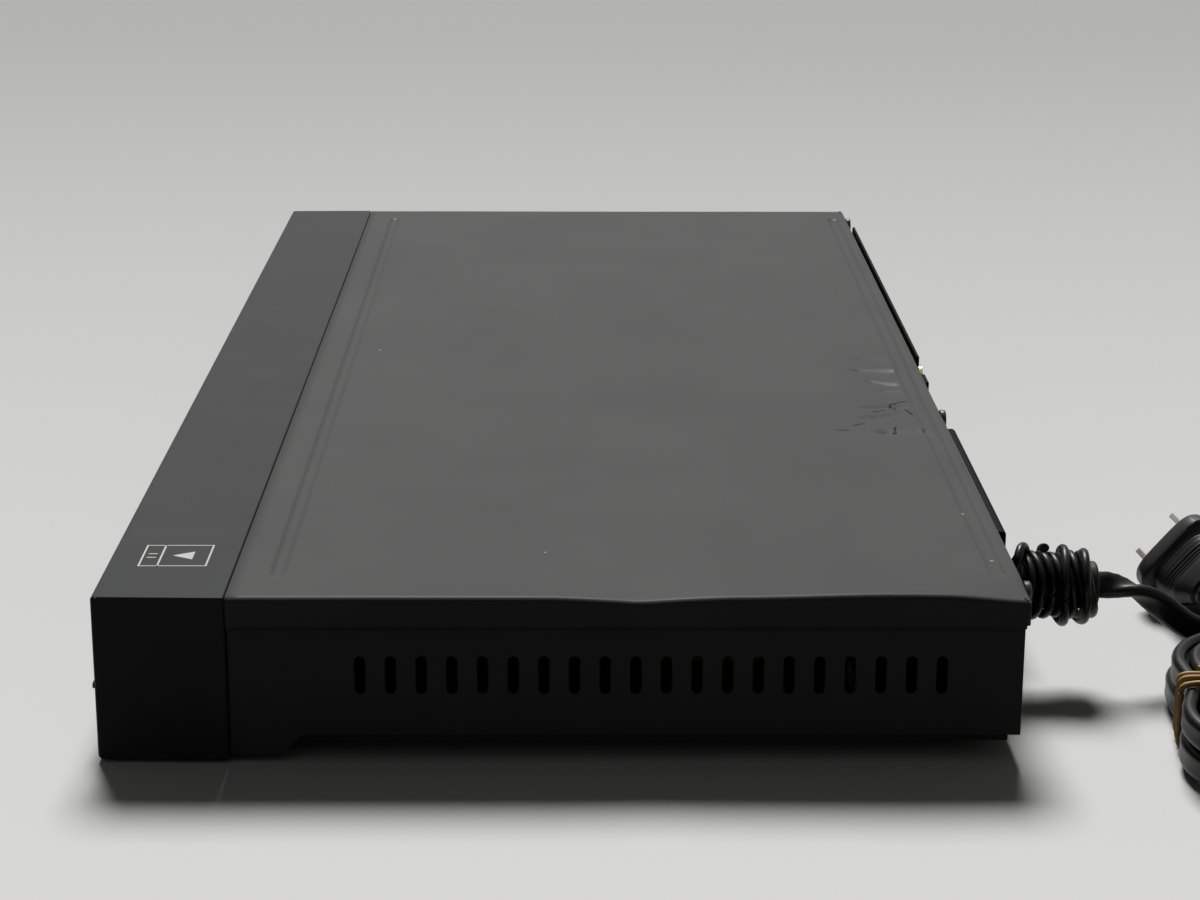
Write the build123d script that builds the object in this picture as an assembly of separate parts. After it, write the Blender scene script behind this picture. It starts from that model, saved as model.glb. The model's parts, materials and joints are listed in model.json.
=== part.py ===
from build123d import *
from math import acos, atan2, ceil, cos, degrees, hypot, pi, radians, sin, sqrt, tan
import os

# A slim tray-loading disc player with a folded steel case. Millimetres, +X to the right as seen from
# the front, the front faces -Y, and z = 0 is the table under the feet.

# Case
body_width = 430.0
body_depth = 206.0
body_height = 39.0
fascia_depth = 29.2
fascia_bottom_z = 0.8
fascia_wall = 2.2
fascia_draft = 0.7
fascia_edge_r = 1.0
cover_sheet = 0.8
cover_flange = 7.3
cover_bend_r = 1.4
cover_rear_flange = 6.5
cover_overhang = 1.0
sheet_gap = 0.15
seam_gap = 0.3
pan_sheet = 0.8
pan_floor_z = 4.0
pan_edge_z = 6.3
pan_step = 2.4
ear_bottom_z = 1.5
ear_length = 11.5
ear_slope = 5.5
jack_proud = 6.0
key_proud = 1.8

# Beads pressed into the cover
front_bead_from_seam = 10.1
rear_bead_from_rear = 5.2
front_bead_width = 2.8
rear_bead_width = 3.3
bead_depth = 0.35
bead_end_margin = 15.0

# Ventilation slots in both side walls
slot_count = 20
slot_pitch = 6.76
slot_width = 2.4
slot_low_z = 16.1
slot_high_z = 24.9
slot_last_from_rear = 19.0

# Feet
foot_r = 9.0
foot_stem_r = 2.0
foot_inset_x = 30.0
front_foot_from_front = 46.0
rear_foot_from_rear = 23.0

# Fits
running_gap = 0.05
slide_gap = 0.3
door_gap = 0.5
seat_gap = 0.3
key_gap = 0.25

# Disc and its tray
disc_r = 60.0
disc_gap = 0.6
loader_x = -45.0
spindle_from_front = 77.1
tray_bottom_z = 21.0
recess_floor_z = 22.8
small_recess_depth = 0.8
small_disc_r = 40.5
rim_z = 25.8
tray_side_margin = 4.9
tray_rear_margin = 5.4
tray_arm_length = 22.0
tray_arm_width = 15.5
tray_slot_half = 23.0
tongue_width = 2.5
tongue_height = 1.6
tray_travel = 134.0
door_thickness = 2.4
door_low_z = 17.5
door_high_z = 29.5
door_overlap = 3.5

# Gears and belt
pressure_angle = 20.0
backlash = 0.12
mesh_gap = 0.03
rack_module = 1.0
rack_gear_teeth = 18
rack_from_centre = 52.0
rack_low_z = 17.4
rack_back = 4.0
drive_gear_from_front = 25.1
train_module = 0.8
drive_wheel_teeth = 42
pinion_teeth = 17
train_low_z = 13.6
train_high_z = 16.6
pulley_low_z = 18.0
pulley_high_z = 20.6
big_pulley_r = 12.0
small_pulley_r = 4.2
groove_depth = 1.2
belt_thickness = 1.2
belt_gap = 0.2
gear_post_r = 1.5
loading_motor_r = 12.2
loading_motor_x = -24.0
loading_motor_height = 9.3

# Loader base
base_floor_z = 6.3
base_floor = 1.5
base_wall = 5.5
base_front_from_front = 7.1
base_rear_past_tray = 6.0
base_top_z = 26.5
base_opening_left = 57.0
base_opening_right = 40.0

# Traverse, which tilts down at its front to let the tray pass
traverse_hinge_from_spindle = 84.0
traverse_hinge_z = 13.0
traverse_drop = 5.6
traverse_plate_z = 16.6
traverse_plate = 1.4
traverse_half = 35.0
traverse_front_past_spindle = 22.0
hinge_pin_r = 2.0
lift_pin_r = 1.2
lift_pin_z = 18.6
seat_z = 25.6
turntable_r = 15.0
turntable_thickness = 1.5
hub_r = 7.4
hub_height = 2.0
spindle_motor_r = 13.4
spindle_motor_top_z = 23.8
spindle_shaft_r = 0.75
rod_x = 26.0
rod_z = 14.0
rod_r = 1.5
sled_start_radius = 22.0
pickup_travel = 36.0
sled_half_length = 13.0
sled_low_z = 11.4
sled_shelf_z = 16.4
sled_top_z = 20.4
sled_half = 20.0
sled_arm_half = 29.0
lens_top_z = 23.4
feed_module = 0.6
feed_wheel_teeth = 40
feed_rack_low_z = 12.0
feed_rack_high_z = 14.4
feed_gear_from_hinge = 44.0
feed_wheel_low_z = 9.3
feed_wheel_high_z = 10.9
feed_motor_r = 6.5
feed_motor_angle = 233.0
cam_travel = 14.0
cam_low_z = 8.1
cam_high_z = 20.7
cam_thickness = 2.0
cam_margin = 7.0
cam_rail_left = 33.0
cam_rail_right = 24.0
cam_rail_height = 3.0
cam_slot_gap = 0.25

# Disc clamp
bridge_from_top = 7.8
bridge_thickness = 2.0
bridge_half_length = 18.0
bridge_hole_r = 11.8
puck_r = 16.0
puck_neck_r = 11.2
puck_low_z = 26.4
puck_flange = 1.5
puck_recess_gap = 0.6

# Front panel parts
window_from_side = 93.0
window_width = 70.0
window_low_z = 20.0
window_from_top = 7.0
window_flange = 1.5
pane_sunk = 0.2
remote_lens_from_side = 83.0
remote_lens_r = 3.0
remote_lens_z = 26.0
key_width = 12.0
key_low_z = 14.7
key_high_z = 17.6
key_pitch = 15.0
key_last_from_side = 14.0
key_tip = 1.2
key_flange = 1.0
key_travel = 0.8
key_stem_r = 1.4
power_key_from_side = 25.0
power_key_width = 18.0
power_key_low_z = 16.0
power_key_high_z = 24.0
board = 1.6
front_board_from_front = 12.1
switch_height = 3.6
switch_half = 3.0

front_board_clear = 3.0
front_board_margin = 8.5
power_key_board_left = 14.0
power_key_board_right = 22.0
display_margin = 3.0
display_thick = 5.0
display_edge_r = 0.8

# Hooks and pads that hold the moulded front, at these shares of the case's half width
hook_shares = (-0.75, -0.28, 0.28, 0.75)
hook_half = 8.0
hook_reach = 8.0
hook_rise = 0.9
hook_drop = 1.2
hook_root = 0.5
pad_share = 0.7
pad_half = 10.0
pad_from_seam = 6.0
pad_length = 10.0

# Boards
boards_from_base = 11.5
boards_from_front = 75.1
boards_from_rear = 12.9
boards_from_side = 9.0
boards_apart = 6.0
main_board_share = 0.4815
jack_board_from_side = 15.0
jack_board_past_coax = 8.0
jack_board_from_base = 3.0
jack_board_from_panel = 3.1
board_low_z = 9.8
board_post_r = 3.0
board_post_inset_x = 5.0
board_post_inset_y = 10.0
board_screw_r = 1.2
board_screw_head_r = 2.4
board_screw_head = 1.4

# Parts on the boards: share of the board's width and length, then the sizes
chip_table = (
    (0.359, 0.407, 24.0, 24.0, 1.6),
    (0.744, 0.373, 10.0, 18.0, 1.2),
    (0.744, 0.576, 10.0, 18.0, 1.2),
    (0.256, 0.695, 8.0, 10.0, 1.4),
    (0.564, 0.746, 6.0, 8.0, 1.4),
    (0.385, 0.237, 11.0, 4.5, 3.5),
    (0.128, 0.441, 6.0, 26.0, 5.0),
    (0.462, 0.102, 30.0, 6.0, 5.0),
)
capacitor_table = (
    (0.238, 0.729, 8.0, 24.0),
    (0.167, 0.288, 5.0, 16.0),
    (0.333, 0.254, 5.0, 16.0),
    (0.488, 0.254, 4.0, 13.0),
    (0.619, 0.237, 4.0, 13.0),
    (0.762, 0.271, 3.2, 11.0),
)
capacitor_edge_r = 0.7
transformer_place = (0.548, 0.525)
core_half_x = 14.0
core_half_y = 12.0
core_height = 20.0
core_yoke = 4.0
winding_half_x = 9.0
winding_half_y = 14.0
winding_gap = 0.5
winding_edge_r = 2.0
heat_sink_place = (0.214, 0.508)
sink_half = 8.0
sink_height = 22.0
fin_reach = 7.0
fin_half = 0.6
fin_count = 5
transistor_half = 5.0
transistor_thick = 4.5
transistor_low = 4.0
transistor_high = 19.0
fuse_place = (0.786, 0.78)
fuse_r = 2.5
fuse_half_length = 10.0
fuse_clip_from_middle = 7.0
fuse_clip_half_y = 3.2
fuse_clip_height = 5.0
cable_width = 26.0
cable_thick = 0.6
cable_rise = 9.0
cable_bend_r = 4.0
cable_plug_half = 15.0
cable_plug_depth = 6.0
cable_plug_low_z = 8.0
cable_plug_high_z = 12.0

# Rear parts
cover_screw_inset = 12.0
cover_screw_middle_from_side = 154.0
cover_screw_above_edge = 3.2
cover_screw_hole_r = 1.7
cover_screw_r = 1.5
cover_screw_head_r = 2.9
cover_screw_head = 1.6
av_block_from_side = 20.0
av_block_width = 161.0
av_block_top_z = 31.0
lip_gap = 1.9
lip_thick = 0.9
lip_top_z = 36.5
lip_past_block = 3.0
lip_past_coax = 18.0
lip_hole_r = 7.2
lip_boss_width = 10.0
lip_boss_half_z = 4.0
video_block_from_side = 164.0
video_block_width = 92.0
video_block_top_z = 30.5
block_inner_depth = 10.0
jack_sleeve_r = 4.15
jack_bore_r = 1.7
jack_wall = 0.55
jack_pitch = 14.0
jack_row_pitch = 10.2
jack_root_r = 3.95
jack_root_depth = 6.0
jack_first_from_end = 12.0
jack_columns = 4
jack_base_gap = 0.6
jack_bore_depth = 7.0
insert_sunk = 0.6
well_r = 6.4
well_pitch = 17.0
well_count = 5
well_root_depth = 4.0
well_sleeve_sunk = 0.3
video_block_edge_r = 1.2
round_socket_from_end = 82.0
round_socket_z = 19.0
round_socket_r = 5.0
round_socket_core_r = 3.6
socket_depth = 6.0
socket_core_sunk = 2.0
square_socket_from_end = 108.0
square_socket_half = 4.5
label_half_x = 7.0
label_sunk = 0.6
label_limits_z = (13.0, 26.0)
label_from_end = (128.0, 152.0)
coax_from_av_block = 10.0
coax_r = 4.7
coax_root_r = 4.5
coax_root_depth = 8.0
coax_nut = 2.0
coax_nut_r = 6.6
coax_flange_r = 7.0
coax_flange = 1.8
coax_bore_depth = 6.0

# Mains lead
lead_exit_from_side = 50.0
lead_exit_z = 24.5
gland_half_x = 12.5
gland_low_z = 18.5
gland_high_z = 30.5
gland_thick = 3.0
gland_neck_r = 5.0
gland_neck_depth = 4.0
gland_stop_half_x = 7.0
gland_stop_half_z = 6.0
gland_edge_r = 2.0
boot_edge_r = 0.8
boot_r = 5.65
boot_end_from_rear = 24.0
wire_r = 1.1
wire_turns = 5.5
wire_pitch = 3.1
wire_start_from_rear = 4.6
lead_width = 6.6
lead_thick = 3.3
lead_round_r = 2.3
# The lead's turns from the boot's end to the hank, and from the hank to the plug, as offsets from the boot
turns_to_hank = ((0.0, 7.3, 0.0), (0.4, 15.4, -4.5), (-0.2, 23.4, -11.6))
turns_to_plug = ((0.5, 26.7, -19.6), (-7.2, 34.3, -15.5))
straight_to_hank = 8.0
straight_from_hank = 12.0
straight_to_plug = 8.0
hank_from_exit = 41.5
hank_from_rear = 58.6
hank_turn = -8.0
hank_half_run = 16.0
hank_end_r = 24.0
hank_step = 4.0
hank_inner_runs = 9
hank_waist = 3.0
hank_layer_gap = 0.6
hank_low_z = 1.7
band_r = 0.65
band_turns = 3
band_pitch = 3.6
band_gap = 0.6
band_corner_r = 3.0
plug_width = 24.0
plug_height = 17.0
plug_corner_r = 6.0
plug_block = 20.0
plug_length = 31.0
plug_from_exit = -23.5
plug_from_rear = 60.3
plug_turn = 5.7
plug_roll = -48.0
plug_z = 12.4
blade_spacing = 12.7
blade_width = 6.35
blade_thick = 1.5
blade_length = 17.5
blade_hole_r = 1.6

# Places worked out from the sizes above
half_width = body_width / 2
front_y = key_proud - (body_depth + key_proud + jack_proud) / 2
rear_y = front_y + body_depth
seam_y = front_y + fascia_depth
cover_front_y = seam_y + seam_gap
pan_rear_y = rear_y - cover_overhang
pan_side_x = half_width - cover_sheet - sheet_gap
pan_floor_top = pan_floor_z + pan_sheet
pan_floor_x = pan_side_x - pan_step
wall_top_z = body_height - cover_sheet - seat_gap
window_high_x = half_width - window_from_side
window_low_x = window_high_x - window_width
window_high_z = body_height - window_from_top
remote_lens_x = half_width - remote_lens_from_side
key_last_x = half_width - key_last_from_side
power_key_x = power_key_from_side - half_width
bridge_low_z = body_height - bridge_from_top
av_block_low_x = av_block_from_side - half_width
av_block_high_x = av_block_low_x + av_block_width
video_block_low_x = half_width - video_block_from_side
video_block_high_x = video_block_low_x + video_block_width
coax_x = av_block_high_x + coax_from_av_block
lip_high_x = coax_x + lip_past_coax
av_face_y = rear_y + lip_gap + lip_thick
lead_exit_x = half_width - lead_exit_from_side
hank_x = lead_exit_x + hank_from_exit
hank_y = rear_y + hank_from_rear
plug_back_x = lead_exit_x + plug_from_exit
plug_back_y = rear_y + plug_from_rear
jack_end_y = rear_y + jack_proud
block_low_z = board_low_z + board
spindle_y = front_y + spindle_from_front
tray_half = disc_r + disc_gap + tray_side_margin
tongue_x = tray_half + tongue_width
tray_front_y = front_y + door_thickness
tray_back_y = spindle_y + disc_r + disc_gap + tray_rear_margin
tray_rear_y = tray_back_y + tray_arm_length
base_inner = tray_half + door_gap
base_half = base_inner + base_wall
base_front_y = front_y + base_front_from_front
base_rear_y = tray_rear_y + base_rear_past_tray
base_floor_top = base_floor_z + base_floor
traverse_front_y = spindle_y - traverse_front_past_spindle
traverse_hinge_y = spindle_y + traverse_hinge_from_spindle
traverse_reach = traverse_hinge_y - spindle_y
cam_y = traverse_front_y - cam_thickness / 2 - 6.0
front_board_y = front_y + front_board_from_front
lead_end_y = rear_y + boot_end_from_rear
drive_x = loader_x + rack_from_centre - rack_module * rack_gear_teeth / 2
drive_y = front_y + drive_gear_from_front
pulley_x = drive_x - train_module * (drive_wheel_teeth + pinion_teeth) / 2 - mesh_gap
sled_y = spindle_y + sled_start_radius
feed_gear_r = feed_module * pinion_teeth / 2
feed_y = traverse_hinge_y - feed_gear_from_hinge
feed_rack_x = loader_x - sled_arm_half - 1.25 * feed_module
feed_x = feed_rack_x - feed_gear_r - mesh_gap
feed_reach = feed_module * (feed_wheel_teeth + pinion_teeth) / 2 + mesh_gap
feed_motor_x = feed_x + feed_reach * cos(radians(feed_motor_angle))
feed_motor_y = feed_y + feed_reach * sin(radians(feed_motor_angle))
boards_low_x = loader_x + base_half + boards_from_base
boards_high_x = half_width - boards_from_side
boards_low_y = front_y + boards_from_front
boards_high_y = rear_y - boards_from_rear
main_board_high_x = boards_low_x + main_board_share * (boards_high_x - boards_low_x - boards_apart)
main_board_limits = (boards_low_x, main_board_high_x, boards_low_y, boards_high_y)
power_board_limits = (main_board_high_x + boards_apart, boards_high_x, boards_low_y, boards_high_y)
jack_board_low_y = base_rear_y + jack_board_from_base
jack_board_high_y = pan_rear_y - pan_sheet - jack_board_from_panel
jack_board_limits = (
    jack_board_from_side - half_width,
    coax_x + jack_board_past_coax,
    jack_board_low_y,
    jack_board_high_y,
)


def block(x, y, z):
    """A box between three pairs of limits."""
    middle = ((x[0] + x[1]) / 2, (y[0] + y[1]) / 2, (z[0] + z[1]) / 2)
    return Pos(*middle) * Box(x[1] - x[0], y[1] - y[0], z[1] - z[0])


def post(x, y, radius, z):
    """An upright cylinder between two heights."""
    return Pos(x, y, (z[0] + z[1]) / 2) * Cylinder(radius, z[1] - z[0])


def rod_along_y(x, z, radius, y):
    """A cylinder along Y between two limits."""
    return Pos(x, (y[0] + y[1]) / 2, z) * Rot(90, 0, 0) * Cylinder(radius, y[1] - y[0])


def rod_along_x(y, z, radius, x):
    """A cylinder along X between two limits."""
    return Pos((x[0] + x[1]) / 2, y, z) * Rot(0, 90, 0) * Cylinder(radius, x[1] - x[0])


def prism(points, z):
    """A straight-sided plate from its outline in plan."""
    outline = make_face(Polyline(*points, close=True))
    return Pos(0, 0, z[0]) * extrude(outline, z[1] - z[0])


def gear(x, y, teeth, module, phase, z):
    """An involute spur gear with one tooth's middle at the angle phase."""
    pitch_r = teeth * module / 2
    base_r = pitch_r * cos(radians(pressure_angle))
    tip_r = pitch_r + module
    root_r = pitch_r - 1.25 * module
    pressure = radians(pressure_angle)
    half_tooth = pi / (2 * teeth) - backlash / (2 * pitch_r) + tan(pressure) - pressure
    flank_steps = 4
    points = []
    for tooth in range(teeth):
        middle = radians(phase) + 2 * pi * tooth / teeth
        flank = [(root_r, half_tooth)]
        for step in range(flank_steps + 1):
            r = base_r + (tip_r - base_r) * step / flank_steps
            roll = acos(base_r / r)
            flank.append((r, half_tooth - (tan(roll) - roll)))
        points += [(r * cos(middle - a), r * sin(middle - a)) for r, a in flank]
        points += [(r * cos(middle + a), r * sin(middle + a)) for r, a in reversed(flank)]
    return Pos(x, y, 0) * prism(points, z)


def rack(pitch_x, mesh_y, module, y, back_x, z):
    """A rack along Y whose teeth point to -X, with a gap's middle at mesh_y."""
    pitch = pi * module
    slope = tan(radians(pressure_angle))
    half = pitch / 4 - backlash / 2
    first = ceil((y[0] - mesh_y) / pitch + 0.5)
    last = int((y[1] - mesh_y) / pitch - 0.5)
    root_x = pitch_x + 1.25 * module
    tip_x = pitch_x - module
    root_half = half + 1.25 * module * slope
    tip_half = half - module * slope
    points = [(back_x, y[0]), (root_x, y[0])]
    for tooth in range(first, last):
        middle = mesh_y + (tooth + 0.5) * pitch
        points += [(root_x, middle - root_half), (tip_x, middle - tip_half)]
        points += [(tip_x, middle + tip_half), (root_x, middle + root_half)]
    points += [(root_x, y[1]), (back_x, y[1])]
    return prism(points, z)


def biarc(start, start_dir, end, end_dir):
    """Two arcs that join two points and follow the direction given at each."""
    p0, p1 = Vector(*start), Vector(*end)
    t0, t1 = Vector(*start_dir).normalized(), Vector(*end_dir).normalized()
    v = p1 - p0
    bend = 1 - t0.dot(t1)
    along = v.dot(t0 + t1)
    if bend < 1e-9:
        if v.cross(t0).length < 1e-6:
            return [Line(p0, p1)]
        reach = v.dot(v) / (4 * v.dot(t1))
    else:
        reach = (sqrt(along * along + 2 * bend * v.dot(v)) - along) / (2 * bend)
    joint = (p0 + t0 * reach + p1 - t1 * reach) / 2
    first = TangentArc(p0, joint, tangent=t0)
    second = TangentArc(joint, p1, tangent=first % 1)
    return [first, second]


def biarc_wire(stations):
    """One wire of biarcs through (point, direction) stations."""
    edges = []
    for (start, start_dir), (end, end_dir) in zip(stations, stations[1:]):
        edges += biarc(start, start_dir, end, end_dir)
    return Wire([edge.edge() for edge in edges])


def least_self_gap(wire, width, skip):
    """Least gap of a tube of this width to itself, left out over the length skip along it."""
    samples = 900
    points = [wire @ (i / samples) for i in range(samples + 1)]
    apart = ceil(skip / (wire.length / samples))
    least = min(
        (points[i] - points[j]).length
        for i in range(0, len(points) - apart, 2)
        for j in range(i + apart, len(points), 2)
    )
    return least - width


def route_tube(points, radius):
    """A round tube along straight runs joined by arcs as large as the runs allow."""
    corners = []
    for before, here, after in zip(points, points[1:], points[2:]):
        run_in = Vector(*here) - Vector(*before)
        run_out = Vector(*after) - Vector(*here)
        half_turn = radians(run_in.get_angle(run_out)) / 2
        corners.append(0.45 * min(run_in.length, run_out.length) / tan(half_turn))
    print("lead bend radii", [round(r, 1) for r in corners])
    path = FilletPolyline(*points, radius=corners)
    wire = Wire(path.edges())
    tube = sweep(Plane(wire @ 0, z_dir=wire % 0) * Circle(radius), path=wire)
    print("lead tube volume over section times length", tube.volume / (pi * radius**2 * wire.length))
    return tube


def make_front_fascia():
    """The moulded front: a shell open at the back, with its openings."""
    outline = [
        (-half_width + fascia_draft, front_y),
        (half_width - fascia_draft, front_y),
        (half_width, seam_y),
        (-half_width, seam_y),
    ]
    shell = prism(outline, (fascia_bottom_z, body_height))
    shell = fillet(shell.faces().sort_by(Axis.Y)[0].edges(), fascia_edge_r)
    inner_x = half_width - fascia_draft - fascia_wall
    inner_z = (fascia_bottom_z + fascia_wall, body_height - fascia_wall)
    shell -= block((-inner_x, inner_x), (front_y + door_thickness, seam_y + 1), inner_z)
    door_x = tray_half + door_overlap + door_gap
    door_z = (door_low_z - door_gap, door_high_z + door_gap)
    front = (front_y - 1, front_y + door_thickness + 1)
    shell -= block((loader_x - door_x, loader_x + door_x), front, door_z)
    shell -= block((window_low_x, window_high_x), front, (window_low_z, window_high_z))
    shell -= rod_along_y(remote_lens_x, remote_lens_z, remote_lens_r, front)
    for low_x, high_x, low_z, high_z in key_faces().values():
        across = (low_x - key_gap, high_x + key_gap)
        shell -= block(across, front, (low_z - key_gap, high_z + key_gap))
    hook_z = body_height - fascia_wall
    hook_y = (seam_y - hook_reach, seam_y + hook_reach)
    for share in hook_shares:
        x = (share * half_width - hook_half, share * half_width + hook_half)
        shell += block(x, hook_y, (hook_z - hook_drop, hook_z + hook_rise))
        shell += block(x, (hook_y[0], seam_y), (hook_z, hook_z + hook_root))
    pad_y = (seam_y - pad_from_seam - pad_length, seam_y - pad_from_seam)
    for side in (-1, 1):
        x = side * pad_share * half_width
        shell += block((x - pad_half, x + pad_half), pad_y, (fascia_bottom_z + fascia_wall, pan_floor_z))
    return shell


def key_faces():
    """Each key's width and height limits on the front, by name."""
    names = ("open_close_button", "play_button", "stop_button", "skip_forward_button", "skip_back_button")
    faces = {}
    for place, name in enumerate(names):
        x = key_last_x - place * key_pitch
        faces[name] = (x - key_width / 2, x + key_width / 2, key_low_z, key_high_z)
    half = power_key_width / 2
    faces["power_button"] = (power_key_x - half, power_key_x + half, power_key_low_z, power_key_high_z)
    return faces


def make_key(face):
    """A key with a sloped top and a stem that ends just short of its switch."""
    low_x, high_x, low_z, high_z = face
    tip_y = front_y - key_proud
    back_y = front_y + door_thickness + key_gap
    side = [(tip_y, low_z), (tip_y, low_z + key_tip), (front_y, high_z), (back_y, high_z), (back_y, low_z)]
    outline = make_face(Polyline(*[(0, y, z) for y, z in side], close=True))
    body = Pos(low_x, 0, 0) * extrude(outline, high_x - low_x, dir=(1, 0, 0))
    middle_x = (low_x + high_x) / 2
    middle_z = (low_z + high_z) / 2
    stem_end = front_board_y - switch_height - key_travel - sheet_gap
    flange_x = (low_x - key_flange, high_x + key_flange)
    flange = block(flange_x, (back_y, back_y + key_flange), (low_z - key_flange, high_z + key_flange))
    return body + flange + rod_along_y(middle_x, middle_z, key_stem_r, (back_y, stem_end))


def make_tact_switches():
    """A small push switch on the board behind every key."""
    switches = []
    for low_x, high_x, low_z, high_z in key_faces().values():
        x = (low_x + high_x) / 2
        z = (low_z + high_z) / 2
        body_y = (front_board_y - switch_height, front_board_y)
        body = block((x - switch_half, x + switch_half), body_y, (z - switch_half, z + switch_half))
        switches.append(body)
    return switches


def make_front_boards():
    """The display and key board on the right, and the power key's board on the left."""
    y = (front_board_y, front_board_y + board)
    low_z = fascia_bottom_z + fascia_wall + front_board_clear
    z = (low_z, body_height - fascia_wall - front_board_clear)
    right = block((window_low_x - display_margin, key_last_x + front_board_margin), y, z)
    left = block((power_key_x - power_key_board_left, power_key_x + power_key_board_right), y, z)
    return [right, left]


def make_display_module():
    """A flat glass display tube on the board behind the window."""
    x = (window_low_x - display_margin, window_high_x + display_margin)
    z = (window_low_z - window_flange / 2, window_high_z + window_flange / 2)
    tube = block(x, (front_board_y - display_thick, front_board_y), z)
    return fillet(tube.faces().sort_by(Axis.Y)[0].edges(), display_edge_r)


def make_display_window():
    """The smoked window set flush in the fascia."""
    x = (window_low_x + sheet_gap, window_high_x - sheet_gap)
    z = (window_low_z + sheet_gap, window_high_z - sheet_gap)
    pane = block(x, (front_y + pane_sunk, front_y + door_thickness), z)
    back = (front_y + door_thickness, front_y + door_thickness + key_flange)
    flange_x = (x[0] - window_flange, x[1] + window_flange)
    return pane + block(flange_x, back, (z[0] - window_flange, z[1] + window_flange))


def make_remote_lens():
    """The domed infrared window beside the display."""
    body_y = (front_y, front_y + door_thickness)
    lens = rod_along_y(remote_lens_x, remote_lens_z, remote_lens_r - sheet_gap, body_y)
    flange_y = (front_y + door_thickness, front_y + door_thickness + key_flange)
    return lens + rod_along_y(remote_lens_x, remote_lens_z, remote_lens_r + key_flange, flange_y)


def make_top_cover():
    """The folded steel cover: top, side flanges, rear flange and two pressed beads."""
    low_z = body_height - cover_flange
    x = (-half_width, half_width)
    outer = block(x, (cover_front_y, rear_y), (low_z, body_height))
    long_edges = outer.edges().filter_by(Axis.Y).sort_by(Axis.Z)[-2:]
    rear_edge = outer.edges().filter_by(Axis.X).group_by(Axis.Z)[-1].sort_by(Axis.Y)[-1]
    outer = fillet(long_edges + [rear_edge], cover_bend_r)
    inner_x = half_width - cover_sheet
    inner_y = (cover_front_y - 1, rear_y - cover_sheet)
    inner = block((-inner_x, inner_x), inner_y, (low_z - 1, body_height - cover_sheet))
    inner_edges = inner.edges().filter_by(Axis.Y).sort_by(Axis.Z)[-2:]
    cover = outer - fillet(inner_edges, cover_bend_r - cover_sheet)
    below_rear = body_height - cover_rear_flange
    cover -= block((-inner_x, inner_x), (rear_y - 2, rear_y + 1), (low_z - 1, below_rear))
    bead_x = half_width - bead_end_margin
    for y, width in (
        (seam_y + front_bead_from_seam, front_bead_width),
        (rear_y - rear_bead_from_rear, rear_bead_width),
    ):
        groove = SlotOverall(2 * bead_x, width)
        cover -= Pos(0, y, body_height - bead_depth) * extrude(groove, bead_depth + 1)
    for x in screw_columns():
        cover -= rod_along_y(x, screw_z(), cover_screw_hole_r, (rear_y - 2, rear_y + 1))
    return cover


def screw_columns():
    """Where the cover's three rear screws stand across the width."""
    middle_x = half_width - cover_screw_middle_from_side
    return (cover_screw_inset - half_width, middle_x, half_width - cover_screw_inset)


def screw_z():
    """Height of the cover's rear screws."""
    return body_height - cover_rear_flange + cover_screw_above_edge


def make_cover_screws():
    """Screws through the rear flange into the rear panel."""
    screws = []
    for x in screw_columns():
        head = rod_along_y(x, screw_z(), cover_screw_head_r, (rear_y, rear_y + cover_screw_head))
        head = fillet(head.edges().sort_by(Axis.Y)[-1], 0.6)
        cross = block((x - 1.6, x + 1.6), (rear_y + 0.8, rear_y + 3), (screw_z() - 0.3, screw_z() + 0.3))
        cross += block((x - 0.3, x + 0.3), (rear_y + 0.8, rear_y + 3), (screw_z() - 1.6, screw_z() + 1.6))
        shank = rod_along_y(x, screw_z(), cover_screw_r, (rear_y - 7, rear_y))
        screws.append(head + shank - cross)
    return screws


def slot_places():
    """The middles of the ventilation slots along the side."""
    last = rear_y - slot_last_from_rear
    return [last - slot_pitch * i for i in range(slot_count)]


def foot_places():
    """The front pair and the rear pair of feet."""
    x = half_width - foot_inset_x
    front = front_y + front_foot_from_front
    rear = rear_y - rear_foot_from_rear
    return [[(-x, front), (x, front)], [(-x, rear), (x, rear)]]


def loader_posts():
    """Where the loader base stands on the pan."""
    x = base_inner + base_wall / 2
    front = base_front_y + 8
    rear = base_rear_y - 8
    return [(loader_x + side * x, y) for side in (-1, 1) for y in (front, rear)]


def board_posts():
    """Where the boards stand on the pan."""
    wide = corner_posts(main_board_limits) + corner_posts(power_board_limits)
    return wide + middle_posts(jack_board_limits)


def corner_posts(limits):
    """The four posts under one board."""
    x0, x1, y0, y1 = limits
    across = (x0 + board_post_inset_x, x1 - board_post_inset_x)
    along = (y0 + board_post_inset_y, y1 - board_post_inset_y)
    return [(x, y) for x in across for y in along]


def middle_posts(limits):
    """The two posts on a narrow board's middle line."""
    x0, x1, y0, y1 = limits
    return [(x, (y0 + y1) / 2) for x in (x0 + board_post_inset_x, x1 - board_post_inset_x)]


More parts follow.
